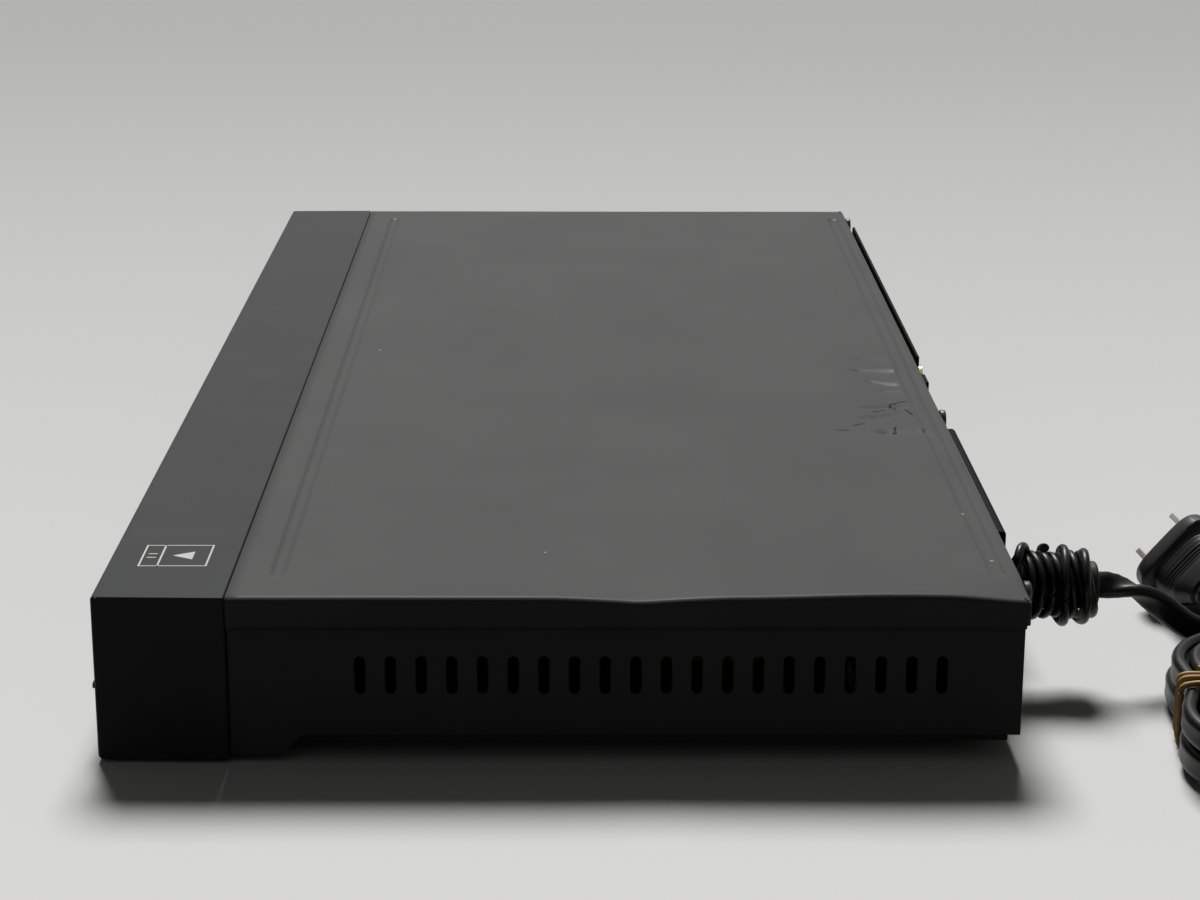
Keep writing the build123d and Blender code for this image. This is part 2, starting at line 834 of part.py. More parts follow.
def make_bottom_pan():
    """The pressed pan: floor, stepped edge, side walls with slots and raised posts."""
    wall_z = (pan_edge_z, wall_top_z)
    inner_side = pan_side_x - pan_sheet
    pan = block((-pan_side_x, pan_side_x), (cover_front_y, pan_rear_y), wall_z)
    pan -= block((-inner_side, inner_side), (cover_front_y - 1, pan_rear_y + 1), (pan_edge_z + pan_sheet, 60))
    floor_rear = pan_rear_y - pan_step
    floor_front = base_front_y - 1
    pan += block((-pan_floor_x, pan_floor_x), (floor_front, floor_rear), (pan_floor_z, pan_edge_z + pan_sheet))
    tub_x = pan_floor_x - pan_sheet
    pan -= block((-tub_x, tub_x), (floor_front - 1, floor_rear - pan_sheet), (pan_floor_top, 60))
    ear_y = cover_front_y + ear_length
    ear = [
        (cover_front_y, pan_edge_z + 1),
        (cover_front_y, ear_bottom_z),
        (ear_y, ear_bottom_z),
        (ear_y + ear_slope, pan_edge_z + 1),
    ]
    outline = make_face(Polyline(*[(0, y, z) for y, z in ear], close=True))
    for side in (-1, 1):
        low_x = min(side * pan_side_x, side * inner_side)
        pan += Pos(low_x, 0, 0) * extrude(outline, pan_sheet, dir=(1, 0, 0))
    cut_x = pan_side_x + 1
    middle_z = (slot_low_z + slot_high_z) / 2
    slot = Plane.YZ * Rot(0, 0, 90) * SlotOverall(slot_high_z - slot_low_z, slot_width)
    for y in slot_places():
        pan -= Pos(-cut_x, y, middle_z) * extrude(slot, 2 * cut_x, dir=(1, 0, 0))
    for x, y in loader_posts():
        pan += post(x, y, 4.0, (pan_floor_z, base_floor_z))
    for x, y in board_posts():
        pan += post(x, y, board_post_r, (pan_floor_z, board_low_z))
        pan -= post(x, y, board_screw_r + running_gap, (pan_floor_top, board_low_z + 1))
    for pair in foot_places():
        for x, y in pair:
            pan -= post(x, y, foot_stem_r + 0.1, (pan_floor_z - 1, pan_floor_top + 1))
    return pan


def make_feet(pair):
    """A pair of rubber feet, each with a stem that snaps through the pan."""
    feet = []
    for x, y in pair:
        pad = post(x, y, foot_r, (0, pan_floor_z))
        pad = chamfer(pad.faces().sort_by(Axis.Z)[0].edges(), 0.8)
        stem = post(x, y, foot_stem_r, (pan_floor_z, pan_floor_top + 1.6))
        feet.append(pad + stem + post(x, y, foot_stem_r + 0.6, (pan_floor_top, pan_floor_top + 1.2)))
    return feet


def make_rear_panel():
    """The rear sheet with its cut-outs and folded side tabs."""
    panel_x = pan_side_x - pan_sheet - sheet_gap
    low_z = pan_edge_z + pan_sheet
    outer = pan_rear_y
    inner = pan_rear_y - pan_sheet
    through = (inner - 1, outer + 1)
    panel = block((-panel_x, panel_x), (inner, outer), (low_z, wall_top_z))
    tab_y = (inner - 11, inner)
    for side in (-1, 1):
        x = sorted((side * panel_x, side * (panel_x - pan_sheet)))
        panel += block(x, tab_y, (low_z + 3, wall_top_z - 3))
    gap = sheet_gap
    for x0, x1, top in (
        (av_block_low_x, av_block_high_x, av_block_top_z),
        (video_block_low_x, video_block_high_x, video_block_top_z),
    ):
        panel -= block((x0 - gap, x1 + gap), through, (block_low_z - gap, top + gap))
    panel -= rod_along_y(coax_x, lead_exit_z, coax_root_r + gap, through)
    panel -= rod_along_y(lead_exit_x, lead_exit_z, gland_neck_r + gap, through)
    for x in screw_columns():
        panel -= rod_along_y(x, screw_z(), cover_screw_r + running_gap, through)
    return panel


def av_jack_places():
    """The round jacks in the wide block, in two rows."""
    low = block_low_z + jack_sleeve_r + jack_base_gap
    first_x = av_block_low_x + jack_first_from_end
    return [
        (first_x + jack_pitch * column, low + jack_row_pitch * row)
        for column in range(jack_columns)
        for row in range(2)
    ]


def video_jack_places():
    """The round jacks in the narrow block, in one row."""
    middle_z = (block_low_z + video_block_top_z) / 2
    middle_x = (video_block_low_x + video_block_high_x) / 2
    first_x = middle_x - well_pitch * (well_count - 1) / 2
    return [(first_x + i * well_pitch, middle_z) for i in range(well_count)]


def make_av_jack_block():
    """The wide connector housing, with a lip that stands behind the cover's edge and goes round the coax."""
    inner_y = pan_rear_y - block_inner_depth
    face_y = av_face_y
    lip_y = (face_y - lip_thick, face_y)
    lip = block((av_block_low_x - lip_past_block, lip_high_x), lip_y, (block_low_z, lip_top_z))
    lip = fillet(lip.edges().filter_by(Axis.Y).group_by(Axis.Z)[-1], 0.6)
    boss_z = (lead_exit_z - lip_boss_half_z, lead_exit_z + lip_boss_half_z)
    boss = block((lip_high_x - lip_boss_width, lip_high_x), (face_y, jack_end_y), boss_z)
    boss -= rod_along_y(lip_high_x - lip_boss_width / 2, lead_exit_z, jack_bore_r, (face_y, jack_end_y + 1))
    housing = block((av_block_low_x, av_block_high_x), (inner_y, face_y), (block_low_z, av_block_top_z))
    housing += lip + boss
    housing -= rod_along_y(coax_x, lead_exit_z, lip_hole_r, (face_y - lip_thick - 1, face_y + 1))
    for x, z in av_jack_places():
        housing -= rod_along_y(x, z, jack_root_r, (face_y - jack_root_depth, face_y + 1))
    round_x = av_block_low_x + round_socket_from_end
    socket_y = (face_y - socket_depth, face_y + 1)
    core_y = (face_y - socket_depth, face_y - socket_core_sunk)
    housing -= rod_along_y(round_x, round_socket_z, round_socket_r, socket_y)
    housing += rod_along_y(round_x, round_socket_z, round_socket_core_r, core_y)
    square_x = av_block_low_x + square_socket_from_end
    across = (square_x - square_socket_half, square_x + square_socket_half)
    up = (round_socket_z - square_socket_half, round_socket_z + square_socket_half)
    housing -= block(across, socket_y, up)
    for from_end in label_from_end:
        x = av_block_low_x + from_end
        sunk_y = (face_y - label_sunk, face_y + 1)
        housing -= block((x - label_half_x, x + label_half_x), sunk_y, label_limits_z)
    return housing


def make_video_jack_block():
    """The narrow connector housing, whose jacks sit in round wells."""
    inner_y = pan_rear_y - block_inner_depth
    housing = block(
        (video_block_low_x, video_block_high_x), (inner_y, jack_end_y), (block_low_z, video_block_top_z)
    )
    rear_edges = housing.faces().sort_by(Axis.Y)[-1].edges()
    housing = fillet(rear_edges, video_block_edge_r)
    for x, z in video_jack_places():
        housing -= rod_along_y(x, z, well_r, (rear_y, jack_end_y + 1))
        housing -= rod_along_y(x, z, jack_root_r, (rear_y - well_root_depth, rear_y + 1))
    return housing


def jack_stacks():
    """Each jack's place with its root, its shoulder on the housing and the end of its sleeve."""
    sunk_y = jack_end_y - well_sleeve_sunk
    stacks = [(x, z, av_face_y - jack_root_depth, av_face_y, jack_end_y) for x, z in av_jack_places()]
    stacks += [(x, z, rear_y - well_root_depth, rear_y, sunk_y) for x, z in video_jack_places()]
    return stacks


def make_rca_sleeves():
    """The outer contact rings of the round jacks."""
    sleeves = []
    for x, z, root, shoulder, end in jack_stacks():
        ring = rod_along_y(x, z, jack_sleeve_r, (shoulder, end))
        ring += rod_along_y(x, z, jack_root_r, (root, shoulder))
        sleeves.append(ring - rod_along_y(x, z, jack_sleeve_r - jack_wall, (root - 1, end + 1)))
    return sleeves


def make_rca_inserts():
    """The coloured insulators inside the contact rings."""
    inserts = []
    for x, z, root, _, end in jack_stacks():
        core = rod_along_y(x, z, jack_sleeve_r - jack_wall, (root, end - insert_sunk))
        inserts.append(core - rod_along_y(x, z, jack_bore_r, (end - jack_bore_depth, end)))
    return inserts


def make_coax_connector():
    """The plated single connector at the wide block's end."""
    z = lead_exit_z
    nut_y = pan_rear_y + coax_nut
    barrel = rod_along_y(coax_x, z, coax_r, (nut_y, jack_end_y))
    barrel += rod_along_y(coax_x, z, coax_root_r, (pan_rear_y - coax_root_depth, nut_y))
    nut = Pos(coax_x, nut_y, z) * extrude(Plane.XZ * RegularPolygon(coax_nut_r, 6), coax_nut)
    inner = pan_rear_y - pan_sheet
    flange = rod_along_y(coax_x, z, coax_flange_r, (inner - coax_flange, inner))
    bore = rod_along_y(coax_x, z, jack_bore_r, (jack_end_y - coax_bore_depth, jack_end_y + 1))
    return barrel + nut + flange - bore


def make_strain_relief():
    """The gland plate on the rear panel and the thick boot round the lead."""
    plate_x = (lead_exit_x - gland_half_x, lead_exit_x + gland_half_x)
    plate = block(plate_x, (pan_rear_y, pan_rear_y + gland_thick), (gland_low_z, gland_high_z))
    plate = fillet(plate.edges().filter_by(Axis.Y), gland_edge_r)
    neck_y = (pan_rear_y - gland_neck_depth, pan_rear_y + 1)
    neck = rod_along_y(lead_exit_x, lead_exit_z, gland_neck_r, neck_y)
    stop_x = (lead_exit_x - gland_stop_half_x, lead_exit_x + gland_stop_half_x)
    stop_z = (lead_exit_z - gland_stop_half_z, lead_exit_z + gland_stop_half_z)
    stop = block(stop_x, (neck_y[0], pan_rear_y - pan_sheet - sheet_gap), stop_z)
    boot = rod_along_y(lead_exit_x, lead_exit_z, boot_r, (pan_rear_y + 1, lead_end_y))
    boot = fillet(boot.edges().sort_by(Axis.Y)[-1], boot_edge_r)
    return plate + neck + stop + boot


def make_binding_wire():
    """Thin wire wound round the boot in one unbroken tube."""
    radius = boot_r + seat_gap + wire_r
    start_y = rear_y + wire_start_from_rear
    quarter_turns = int(4 * wire_turns)

    def station(i):
        turn = i / 4
        angle = 2 * pi * turn
        point = (
            lead_exit_x + radius * cos(angle),
            start_y + wire_pitch * turn,
            lead_exit_z + radius * sin(angle),
        )
        heading = (-2 * pi * radius * sin(angle), wire_pitch, 2 * pi * radius * cos(angle))
        return point, heading

    wire = biarc_wire([station(i) for i in range(quarter_turns + 1)])
    print("binding wire least gap to itself", least_self_gap(wire, 2 * wire_r, 4 * wire_r + 6))
    return sweep(Plane(wire @ 0, z_dir=wire % 0) * Circle(wire_r), path=wire)


def hank_place(x, y, z):
    """A point of the hank's own frame, placed beside the player."""
    turn = radians(hank_turn)
    return (
        hank_x + x * cos(turn) - y * sin(turn),
        hank_y + x * sin(turn) + y * cos(turn),
        z,
    )


def hank_heading(x, y, z):
    """A direction of the hank's own frame."""
    turn = radians(hank_turn)
    return (x * cos(turn) - y * sin(turn), x * sin(turn) + y * cos(turn), z)


def hank_side(run):
    """Distance of a run from the hank's middle: in along the top layer, out along the lower one."""
    depth = run if run <= hank_inner_runs else 2 * hank_inner_runs - run
    return hank_end_r - depth * hank_step / 2


def hank_stations():
    """The hank from its far end over the top layer, down inside, and out along the lower layer."""
    low = hank_low_z + lead_width / 2
    high = low + lead_width + hank_layer_gap
    start_x = -hank_half_run - hank_end_r - hank_step / 4
    stations = [(hank_place(start_x, -hank_step / 4, high), hank_heading(0, 1, 0))]
    for run in range(2 * hank_inner_runs):
        way = 1 if run % 2 == 0 else -1
        y = way * hank_side(run)
        z_in = high if run <= hank_inner_runs else low
        z_out = high if run < hank_inner_runs else low
        fall = (z_out - z_in) / hank_half_run
        ahead = hank_heading(way, 0, 0)
        stations.append((hank_place(-way * hank_half_run, y, z_in), ahead))
        waist_y = y - way * hank_waist
        middle = hank_place(0, waist_y, (z_in + z_out) / 2)
        stations.append((middle, hank_heading(way, 0, fall)))
        stations.append((hank_place(way * hank_half_run, y, z_out), ahead))
    return stations


def make_cord_hank():
    """The folded-up length of flat lead, on edge, as one unbroken strip."""
    wire = biarc_wire(hank_stations())
    print("hank length", wire.length)
    start = Plane(wire @ 0, x_dir=(0, 0, 1), z_dir=wire % 0)
    section = start * SlotOverall(lead_width, lead_thick)
    skip = 4 * hank_end_r
    print("hank least gap to itself", least_self_gap(wire, lead_thick, skip))
    return sweep(section, path=wire)


def make_rubber_band():
    """A thin band wound three times round the hank's waist as one unbroken tube."""
    left = hank_side(1) - hank_waist + lead_thick / 2
    right = hank_side(0) - hank_waist + lead_thick / 2
    spread = 2 * hank_waist * (band_pitch * band_turns / 2 / hank_half_run) ** 2
    clear = band_gap + band_r + spread
    half_y = (left + right) / 2 + clear
    middle_y = (right - left) / 2
    hank_height = 2 * lead_width + hank_layer_gap
    low_z = band_r + 0.05
    high_z = hank_low_z + hank_height + seat_gap + band_r
    half_z = (high_z - low_z) / 2
    middle_z = (high_z + low_z) / 2
    flat_y = half_y - band_corner_r
    flat_z = half_z - band_corner_r
    quarter = pi / 2 * band_corner_r
    legs = [2 * flat_y, quarter, 2 * flat_z, quarter] * 2
    corners = [
        (-flat_y, half_z, 1, 0),
        (flat_y, half_z, 1, 0),
        (half_y, flat_z, 0, -1),
        (half_y, -flat_z, 0, -1),
        (flat_y, -half_z, -1, 0),
        (-flat_y, -half_z, -1, 0),
        (-half_y, -flat_z, 0, 1),
        (-half_y, flat_z, 0, 1),
    ]
    around = sum(legs)
    rise = band_pitch / around
    stations = []
    gone = 0.0
    start_x = -band_pitch * band_turns / 2
    for step in range(8 * band_turns + 1):
        y, z, way_y, way_z = corners[step % 8]
        point = hank_place(start_x + rise * gone, middle_y + y, middle_z + z)
        stations.append((point, hank_heading(rise, way_y, way_z)))
        gone += legs[step % 8]
    wire = biarc_wire(stations)
    print("band least gap to itself", least_self_gap(wire, 2 * band_r, around / 3))
    return sweep(Plane(wire @ 0, z_dir=wire % 0) * Circle(band_r), path=wire)


def make_mains_cord():
    """The lead from the boot to the hank, and from the hank to the plug."""
    hank = hank_stations()
    first = hank[0][0]
    last = hank[-1][0]
    exit_point = Vector(lead_exit_x, lead_end_y, lead_exit_z)
    to_hank = [tuple(exit_point)]
    to_hank += [tuple(exit_point + Vector(*turn)) for turn in turns_to_hank]
    to_hank += [tuple(Vector(*first) - Vector(*hank[0][1]) * straight_to_hank), first]
    back = Vector(plug_back_x, plug_back_y, plug_z)
    axis = Vector(cos(radians(plug_turn)), sin(radians(plug_turn)), 0)
    to_plug = [
        last,
        tuple(Vector(*last) + Vector(*hank[-1][1]) * straight_from_hank),
        *[tuple(exit_point + Vector(*turn)) for turn in turns_to_plug],
        tuple(back + axis * straight_to_plug),
        tuple(back),
    ]
    return [route_tube(to_hank, lead_round_r), route_tube(to_plug, lead_round_r)]


def plug_frame():
    """The plug's frame: X along it from the cord's end to the blades, Y across the blades."""
    return Pos(plug_back_x, plug_back_y, plug_z) * Rot(0, 0, 180 + plug_turn) * Rot(plug_roll, 0, 0)


def make_mains_plug():
    """The moulded plug: a rounded block with a waisted grip that tapers to the cord."""
    def ring(x, width, height, corner):
        return Plane((x, 0, 0), x_dir=(0, 1, 0), z_dir=(1, 0, 0)) * RectangleRounded(width, height, corner)

    neck = plug_length - plug_block
    taper = loft([ring(0, 9.0, 8.0, 3.0), ring(neck, plug_width - 5, plug_height - 3, 5.0)])
    grip = loft([
        ring(neck, plug_width - 5, plug_height - 3, 5.0),
        ring(plug_length - 6, plug_width - 3.5, plug_height - 2, 5.5),
    ])
    head = extrude(ring(plug_length - 6, plug_width, plug_height, plug_corner_r), 6.0)
    head = fillet(head.faces().sort_by(Axis.X)[-1].edges(), 1.2)
    return plug_frame() * (taper + grip + head)


def make_plug_blades():
    """Two flat blades with the usual hole near the tip."""
    blades = []
    for side in (-1, 1):
        y = side * blade_spacing / 2
        across = (y - blade_thick / 2, y + blade_thick / 2)
        blade = block((plug_length, plug_length + blade_length), across, (-blade_width / 2, blade_width / 2))
        tip = blade.edges().filter_by(Axis.Y).sort_by(Axis.X)[-2:]
        blade = chamfer(tip, 1.2)
        hole_x = plug_length + blade_length - 5.5
        blade -= rod_along_y(hole_x, 0, blade_hole_r, (across[0] - 1, across[1] + 1))
        blades.append(plug_frame() * blade)
    return blades


def lift_slot_points():
    """The lift pin's place at rest and the drop it makes when the traverse is down."""
    tilt = atan2(traverse_drop, sqrt(traverse_reach**2 - traverse_drop**2))
    drop = (traverse_hinge_y - cam_y) * sin(tilt)
    return lift_pin_z, drop


def make_loader_base():
    """The moulded base: floor with openings, grooved side walls, bridge posts and gear posts."""
    left, right = loader_x - base_half, loader_x + base_half
    base = block((left, right), (base_front_y, base_rear_y), (base_floor_z, base_top_z))
    inner = (loader_x - base_inner, loader_x + base_inner)
    base -= block(inner, (base_front_y - 1, base_rear_y - 3), (base_floor_top, 60))
    groove_x = tongue_x + slide_gap
    groove_z = (tray_bottom_z - slide_gap, tray_bottom_z + tongue_height + slide_gap)
    groove = block((loader_x - groove_x, loader_x + groove_x), (base_front_y - 1, base_rear_y - 3), groove_z)
    base -= groove
    opening_x = (loader_x - base_opening_left, loader_x + base_opening_right)
    base -= block(opening_x, (cam_y + 5, base_rear_y - 4), (base_floor_z - 1, base_floor_top + 1))
    for side in (-1, 1):
        x = sorted((loader_x + side * base_inner, loader_x + side * base_half))
        y = (spindle_y - bridge_half_length, spindle_y + bridge_half_length)
        base += block(x, y, (base_top_z - 1, bridge_low_z))
        ear_x = sorted((loader_x + side * (traverse_half + 1.0 + slide_gap), loader_x + side * (base_half - 1)))
        ear_y = (traverse_hinge_y - 4, traverse_hinge_y + 4)
        base += block(ear_x, ear_y, (base_floor_z, traverse_hinge_z + 4))
        pin_x = (loader_x + side * traverse_half, loader_x + side * (traverse_half + 9))
        base -= rod_along_x(traverse_hinge_y, traverse_hinge_z, hinge_pin_r + running_gap, sorted(pin_x))
    for x, y in ((drive_x, drive_y), (pulley_x, drive_y)):
        base += post(x, y, gear_post_r, (base_floor_z, rack_low_z + 2.6))
        base += post(x, y, gear_post_r + 1.5, (base_floor_z, train_low_z - slide_gap))
    rib_z = (base_floor_z, base_floor_top + 4)
    for x0 in (loader_x - 40, loader_x + 26):
        for y0 in (cam_y - cam_thickness / 2 - slide_gap - 1.2, cam_y + cam_thickness / 2 + slide_gap):
            base += block((x0, x0 + 12), (y0, y0 + 1.2), rib_z)
    return base


def make_disc_tray():
    """The tray: slab with two recesses, open slot, side tongues, rear arms and rack."""
    x = (loader_x - tray_half, loader_x + tray_half)
    tray = block(x, (tray_front_y, tray_back_y), (tray_bottom_z, rim_z))
    for side in (-1, 1):
        arm_x = sorted((loader_x + side * (tray_half - tray_arm_width), loader_x + side * tray_half))
        tray += block(arm_x, (tray_back_y - 1, tray_rear_y), (tray_bottom_z, rim_z))
        tongue = sorted((loader_x + side * (tray_half - 1), loader_x + side * tongue_x))
        tongue_z = (tray_bottom_z, tray_bottom_z + tongue_height)
        tray += block(tongue, (base_front_y, tray_rear_y), tongue_z)
    tray -= post(loader_x, spindle_y, disc_r + disc_gap, (recess_floor_z, rim_z + 1))
    small_z = (recess_floor_z - small_recess_depth, rim_z)
    tray -= post(loader_x, spindle_y, small_disc_r, small_z)
    slot_x = (loader_x - tray_slot_half, loader_x + tray_slot_half)
    tray -= block(slot_x, (spindle_y, tray_rear_y + 1), (tray_bottom_z - 1, rim_z + 1))
    tray -= post(loader_x, spindle_y, tray_slot_half, (tray_bottom_z - 1, rim_z + 1))
    for side in (-1, 1):
        notch = Pos(loader_x + side * (disc_r + 4), spindle_y - 30, recess_floor_z) * Cylinder(9, 12)
        tray -= notch & block(x, (tray_front_y, tray_back_y), (recess_floor_z, rim_z + 1))
    pitch_x = loader_x + rack_from_centre
    rack_y = (drive_y - 8, tray_rear_y)
    tray += rack(pitch_x, drive_y, rack_module, rack_y, pitch_x + rack_back, (rack_low_z, tray_bottom_z))
    return tray


def make_tray_door():
    """The door on the tray's front edge, flush with the fascia."""
    half = tray_half + door_overlap
    door = block((loader_x - half, loader_x + half), (front_y, tray_front_y), (door_low_z, door_high_z))
    return fillet(door.faces().sort_by(Axis.Y)[0].edges(), 0.5)


def make_drive_gear():
    """The double gear that pushes the rack."""
    wheel_phase = 180.0
    wheel = gear(drive_x, drive_y, drive_wheel_teeth, train_module, wheel_phase, (train_low_z, train_high_z))
    upper_z = (train_high_z, rack_low_z + 2.6)
    upper = gear(drive_x, drive_y, rack_gear_teeth, rack_module, 0.0, upper_z)
    return wheel + upper - post(drive_x, drive_y, gear_post_r + running_gap, (0, 60))


def make_pulley_gear():
    """The belt pulley with the pinion under it."""
    phase = 180.0 / pinion_teeth
    pinion = gear(pulley_x, drive_y, pinion_teeth, train_module, phase, (train_low_z, pulley_low_z))
    pulley = grooved_pulley(pulley_x, big_pulley_r)
    return pinion + pulley - post(pulley_x, drive_y, gear_post_r + running_gap, (0, 60))


def grooved_pulley(x, radius):
    """A pulley with a square groove for the belt."""
    pulley = post(x, drive_y, radius, (pulley_low_z, pulley_high_z))
    groove_z = (pulley_low_z + 0.5, pulley_high_z - 0.5)
    groove = post(x, drive_y, radius + 1, groove_z) - post(x, drive_y, radius - groove_depth, groove_z)
    return pulley - groove


def make_motor_pulley():
    """The small pulley pressed on the loading motor's shaft."""
    x = loader_x + loading_motor_x
    return grooved_pulley(x, small_pulley_r) - post(x, drive_y, 1.0 + running_gap, (0, 60))


def make_loading_motor():
    """A flat motor on the loader's floor with its shaft upwards."""
    x = loader_x + loading_motor_x
    can = post(x, drive_y, loading_motor_r, (base_floor_top, base_floor_top + loading_motor_height))
    can = fillet(can.faces().sort_by(Axis.Z)[-1].edges(), 0.8)
    boss = post(x, drive_y, 3.0, (base_floor_top + loading_motor_height - 1, pulley_low_z - slide_gap))
    return can + boss + post(x, drive_y, 1.0, (base_floor_top + 2, pulley_high_z - 0.2))


def make_loading_belt():
    """The square belt round both pulleys, as a closed band."""
    big = big_pulley_r - groove_depth + belt_gap
    small = small_pulley_r - groove_depth + belt_gap
    x0 = loader_x + loading_motor_x
    middle_z = (pulley_low_z + pulley_high_z) / 2
    z = (middle_z - belt_thickness / 2, middle_z + belt_thickness / 2)

    def loop(extra):
        lean = acos((big - small) / (pulley_x - x0))
        points = []
        for centre, r, from_angle, to_angle in (
            (pulley_x, big + extra, pi - lean, lean - pi),
            (x0, small + extra, lean - pi, -pi - lean),
        ):
            points.append([(centre + r * cos(a), drive_y + r * sin(a))
                           for a in (from_angle, (from_angle + to_angle) / 2, to_angle)])
        big_arc = ThreePointArc(*points[0])
        small_arc = ThreePointArc(*points[1])
        lines = [Line(points[0][2], points[1][0]), Line(points[1][2], points[0][0])]
        face = make_face([big_arc.edge(), lines[0].edge(), small_arc.edge(), lines[1].edge()])
        return Pos(0, 0, z[0]) * extrude(face, z[1] - z[0])

    return loop(belt_thickness) - loop(0)


def traverse_outline():
    """The traverse plate's outline, with an ear for the feed motor."""
    ear_x = feed_motor_x - 8
    ear_y = (feed_motor_y - 9, feed_y + 15)
    left, right = loader_x - traverse_half, loader_x + traverse_half
    rear = traverse_hinge_y - 1
    return [
        (left, traverse_front_y),
        (right, traverse_front_y),
        (right, rear),
        (left, rear),
        (left, ear_y[1]),
        (ear_x, ear_y[1]),
        (ear_x, ear_y[0]),
        (left, ear_y[0]),
    ]


def make_traverse_frame():
    """The steel plate that carries the spindle, the rods and the feed drive."""
    plate_z = (traverse_plate_z, traverse_plate_z + traverse_plate)
    frame = prism(traverse_outline(), plate_z)
    window_x = (loader_x - 31.9, loader_x + 31.0)
    window_y = (spindle_y + 6, traverse_hinge_y - 7)
    window = block(window_x, window_y, (0, 60)) - post(loader_x, spindle_y, 15.0, (0, 60))
    frame -= window
    rod_ends = rod_limits()
    for side in (-1, 1):
        x = loader_x + side * rod_x
        for end, way in ((rod_ends[0], 1), (rod_ends[1], -1)):
            y = sorted((end - way * 1.5, end + way * 2.5))
            holder = block((x - 2.2, x + 2.2), y, (rod_z - 2.5, plate_z[0]))
            frame += holder
        lug_x = sorted((loader_x + side * (traverse_half - 2), loader_x + side * traverse_half))
        lug_y = (traverse_hinge_y - 5, traverse_hinge_y + 3)
        frame += block(lug_x, lug_y, (traverse_hinge_z - 3, plate_z[1]))
        pin_x = sorted((loader_x + side * (traverse_half - 1), loader_x + side * (traverse_half + 8)))
        frame += rod_along_x(traverse_hinge_y, traverse_hinge_z, hinge_pin_r, pin_x)
        frame -= rod_along_y(x, rod_z, rod_r, (rod_ends[0] - 0.01, rod_ends[1] + 0.01))
    boss = block((loader_x - 4, loader_x + 4), (traverse_front_y - 0.5, traverse_front_y + 4), (plate_z[0], 20.4))
    pin_y = (cam_y - cam_thickness / 2 - 0.6, traverse_front_y + 1)
    frame += boss + rod_along_y(loader_x, lift_pin_z, lift_pin_r, pin_y)
    gear_hole = post(feed_x, feed_y, 5.7 + 1.0, (0, 60))
    frame -= gear_hole & block((-300, loader_x - 32), (-300, 300), (0, 60))
    frame += feed_axle()
    frame -= post(feed_motor_x, feed_motor_y, 2.2, (0, 60))
    frame -= post(loader_x, spindle_y, spindle_shaft_r + running_gap, (0, 60))
    return frame


def feed_axle():
    """The post and bridge that carry the feed gear under the plate."""
    top = traverse_plate_z
    bridge = block((feed_x - 9, feed_x + 1.2), (feed_y - 1.2, feed_y + 1.2), (top, top + traverse_plate))
    return bridge + post(feed_x, feed_y, 1.0, (feed_wheel_low_z - 0.4, top + 0.5))


def rod_limits():
    """The two ends of the guide rods."""
    return (spindle_y + 3.0, traverse_hinge_y - 5.5)


def make_guide_rods():
    """The pair of polished rods that the sled runs on."""
    return [rod_along_y(loader_x + side * rod_x, rod_z, rod_r, rod_limits()) for side in (-1, 1)]


def make_spindle_motor():
    """The flat disc motor on the traverse plate."""
    low = traverse_plate_z + traverse_plate
    motor = post(loader_x, spindle_y, spindle_motor_r, (low, spindle_motor_top_z))
    motor = fillet(motor.faces().sort_by(Axis.Z)[-1].edges(), 0.8)
    shaft_top = seat_z - 0.3
    return motor + post(loader_x, spindle_y, spindle_shaft_r, (traverse_plate_z + 0.2, shaft_top))


def make_turntable():
    """The disc's seat with its centring hub."""
    low = seat_z - turntable_thickness
    table = post(loader_x, spindle_y, turntable_r, (low, seat_z))
    hub = post(loader_x, spindle_y, hub_r, (seat_z - 0.5, seat_z + hub_height))
    hub = chamfer(hub.faces().sort_by(Axis.Z)[-1].edges(), 0.9)
    bore = post(loader_x, spindle_y, spindle_shaft_r + running_gap, (low - 1, seat_z - 0.25))
    return table + hub - bore


def make_clamp_bridge():
    """The strip across the loader that holds the clamp puck."""
    x = (loader_x - base_half, loader_x + base_half)
    y = (spindle_y - bridge_half_length, spindle_y + bridge_half_length)
    z = (bridge_low_z, bridge_low_z + bridge_thickness)
    return block(x, y, z) - post(loader_x, spindle_y, bridge_hole_r, (0, 60))


def make_clamp_puck():
    """The spool-shaped puck that presses the disc on the turntable."""
    bridge_top = bridge_low_z + bridge_thickness
    lower = post(loader_x, spindle_y, puck_r, (puck_low_z, bridge_low_z - slide_gap - 0.2))
    neck = post(loader_x, spindle_y, puck_neck_r, (puck_low_z, bridge_top + slide_gap))
    flange_z = (bridge_top + slide_gap, bridge_top + slide_gap + puck_flange)
    flange = post(loader_x, spindle_y, puck_r - 1.5, flange_z)
    recess_z = (puck_low_z - 1, seat_z + hub_height + puck_recess_gap)
    return lower + neck + flange - post(loader_x, spindle_y, hub_r + puck_recess_gap, recess_z)


def make_pickup_sled():
    """The sled with its bushed arms, rack strip and lens carrier."""
    y = (sled_y - sled_half_length, sled_y + sled_half_length)
    arms = block((loader_x - sled_arm_half, loader_x + sled_arm_half), y, (sled_low_z, sled_shelf_z))
    core = block((loader_x - sled_half, loader_x + sled_half), y, (sled_shelf_z, sled_top_z))
    carrier = block((loader_x - 10, loader_x + 10), (sled_y - 7, sled_y + 7), (sled_top_z, sled_top_z + 1.6))
    sled = arms + core + carrier
    sled -= post(loader_x, spindle_y, spindle_motor_r + 2.0, (0, 60))
    for side in (-1, 1):
        sled -= rod_along_y(loader_x + side * rod_x, rod_z, rod_r + running_gap, (y[0] - 1, y[1] + 1))
    rack_y = (feed_y - pickup_travel - 3, feed_y + 3)
    back_x = loader_x - sled_arm_half + 0.6
    strip = rack(feed_rack_x, feed_y, feed_module, rack_y, back_x, (feed_rack_low_z, feed_rack_high_z))
    return sled + strip - post(loader_x, sled_y, 3.0, (sled_top_z, 60))


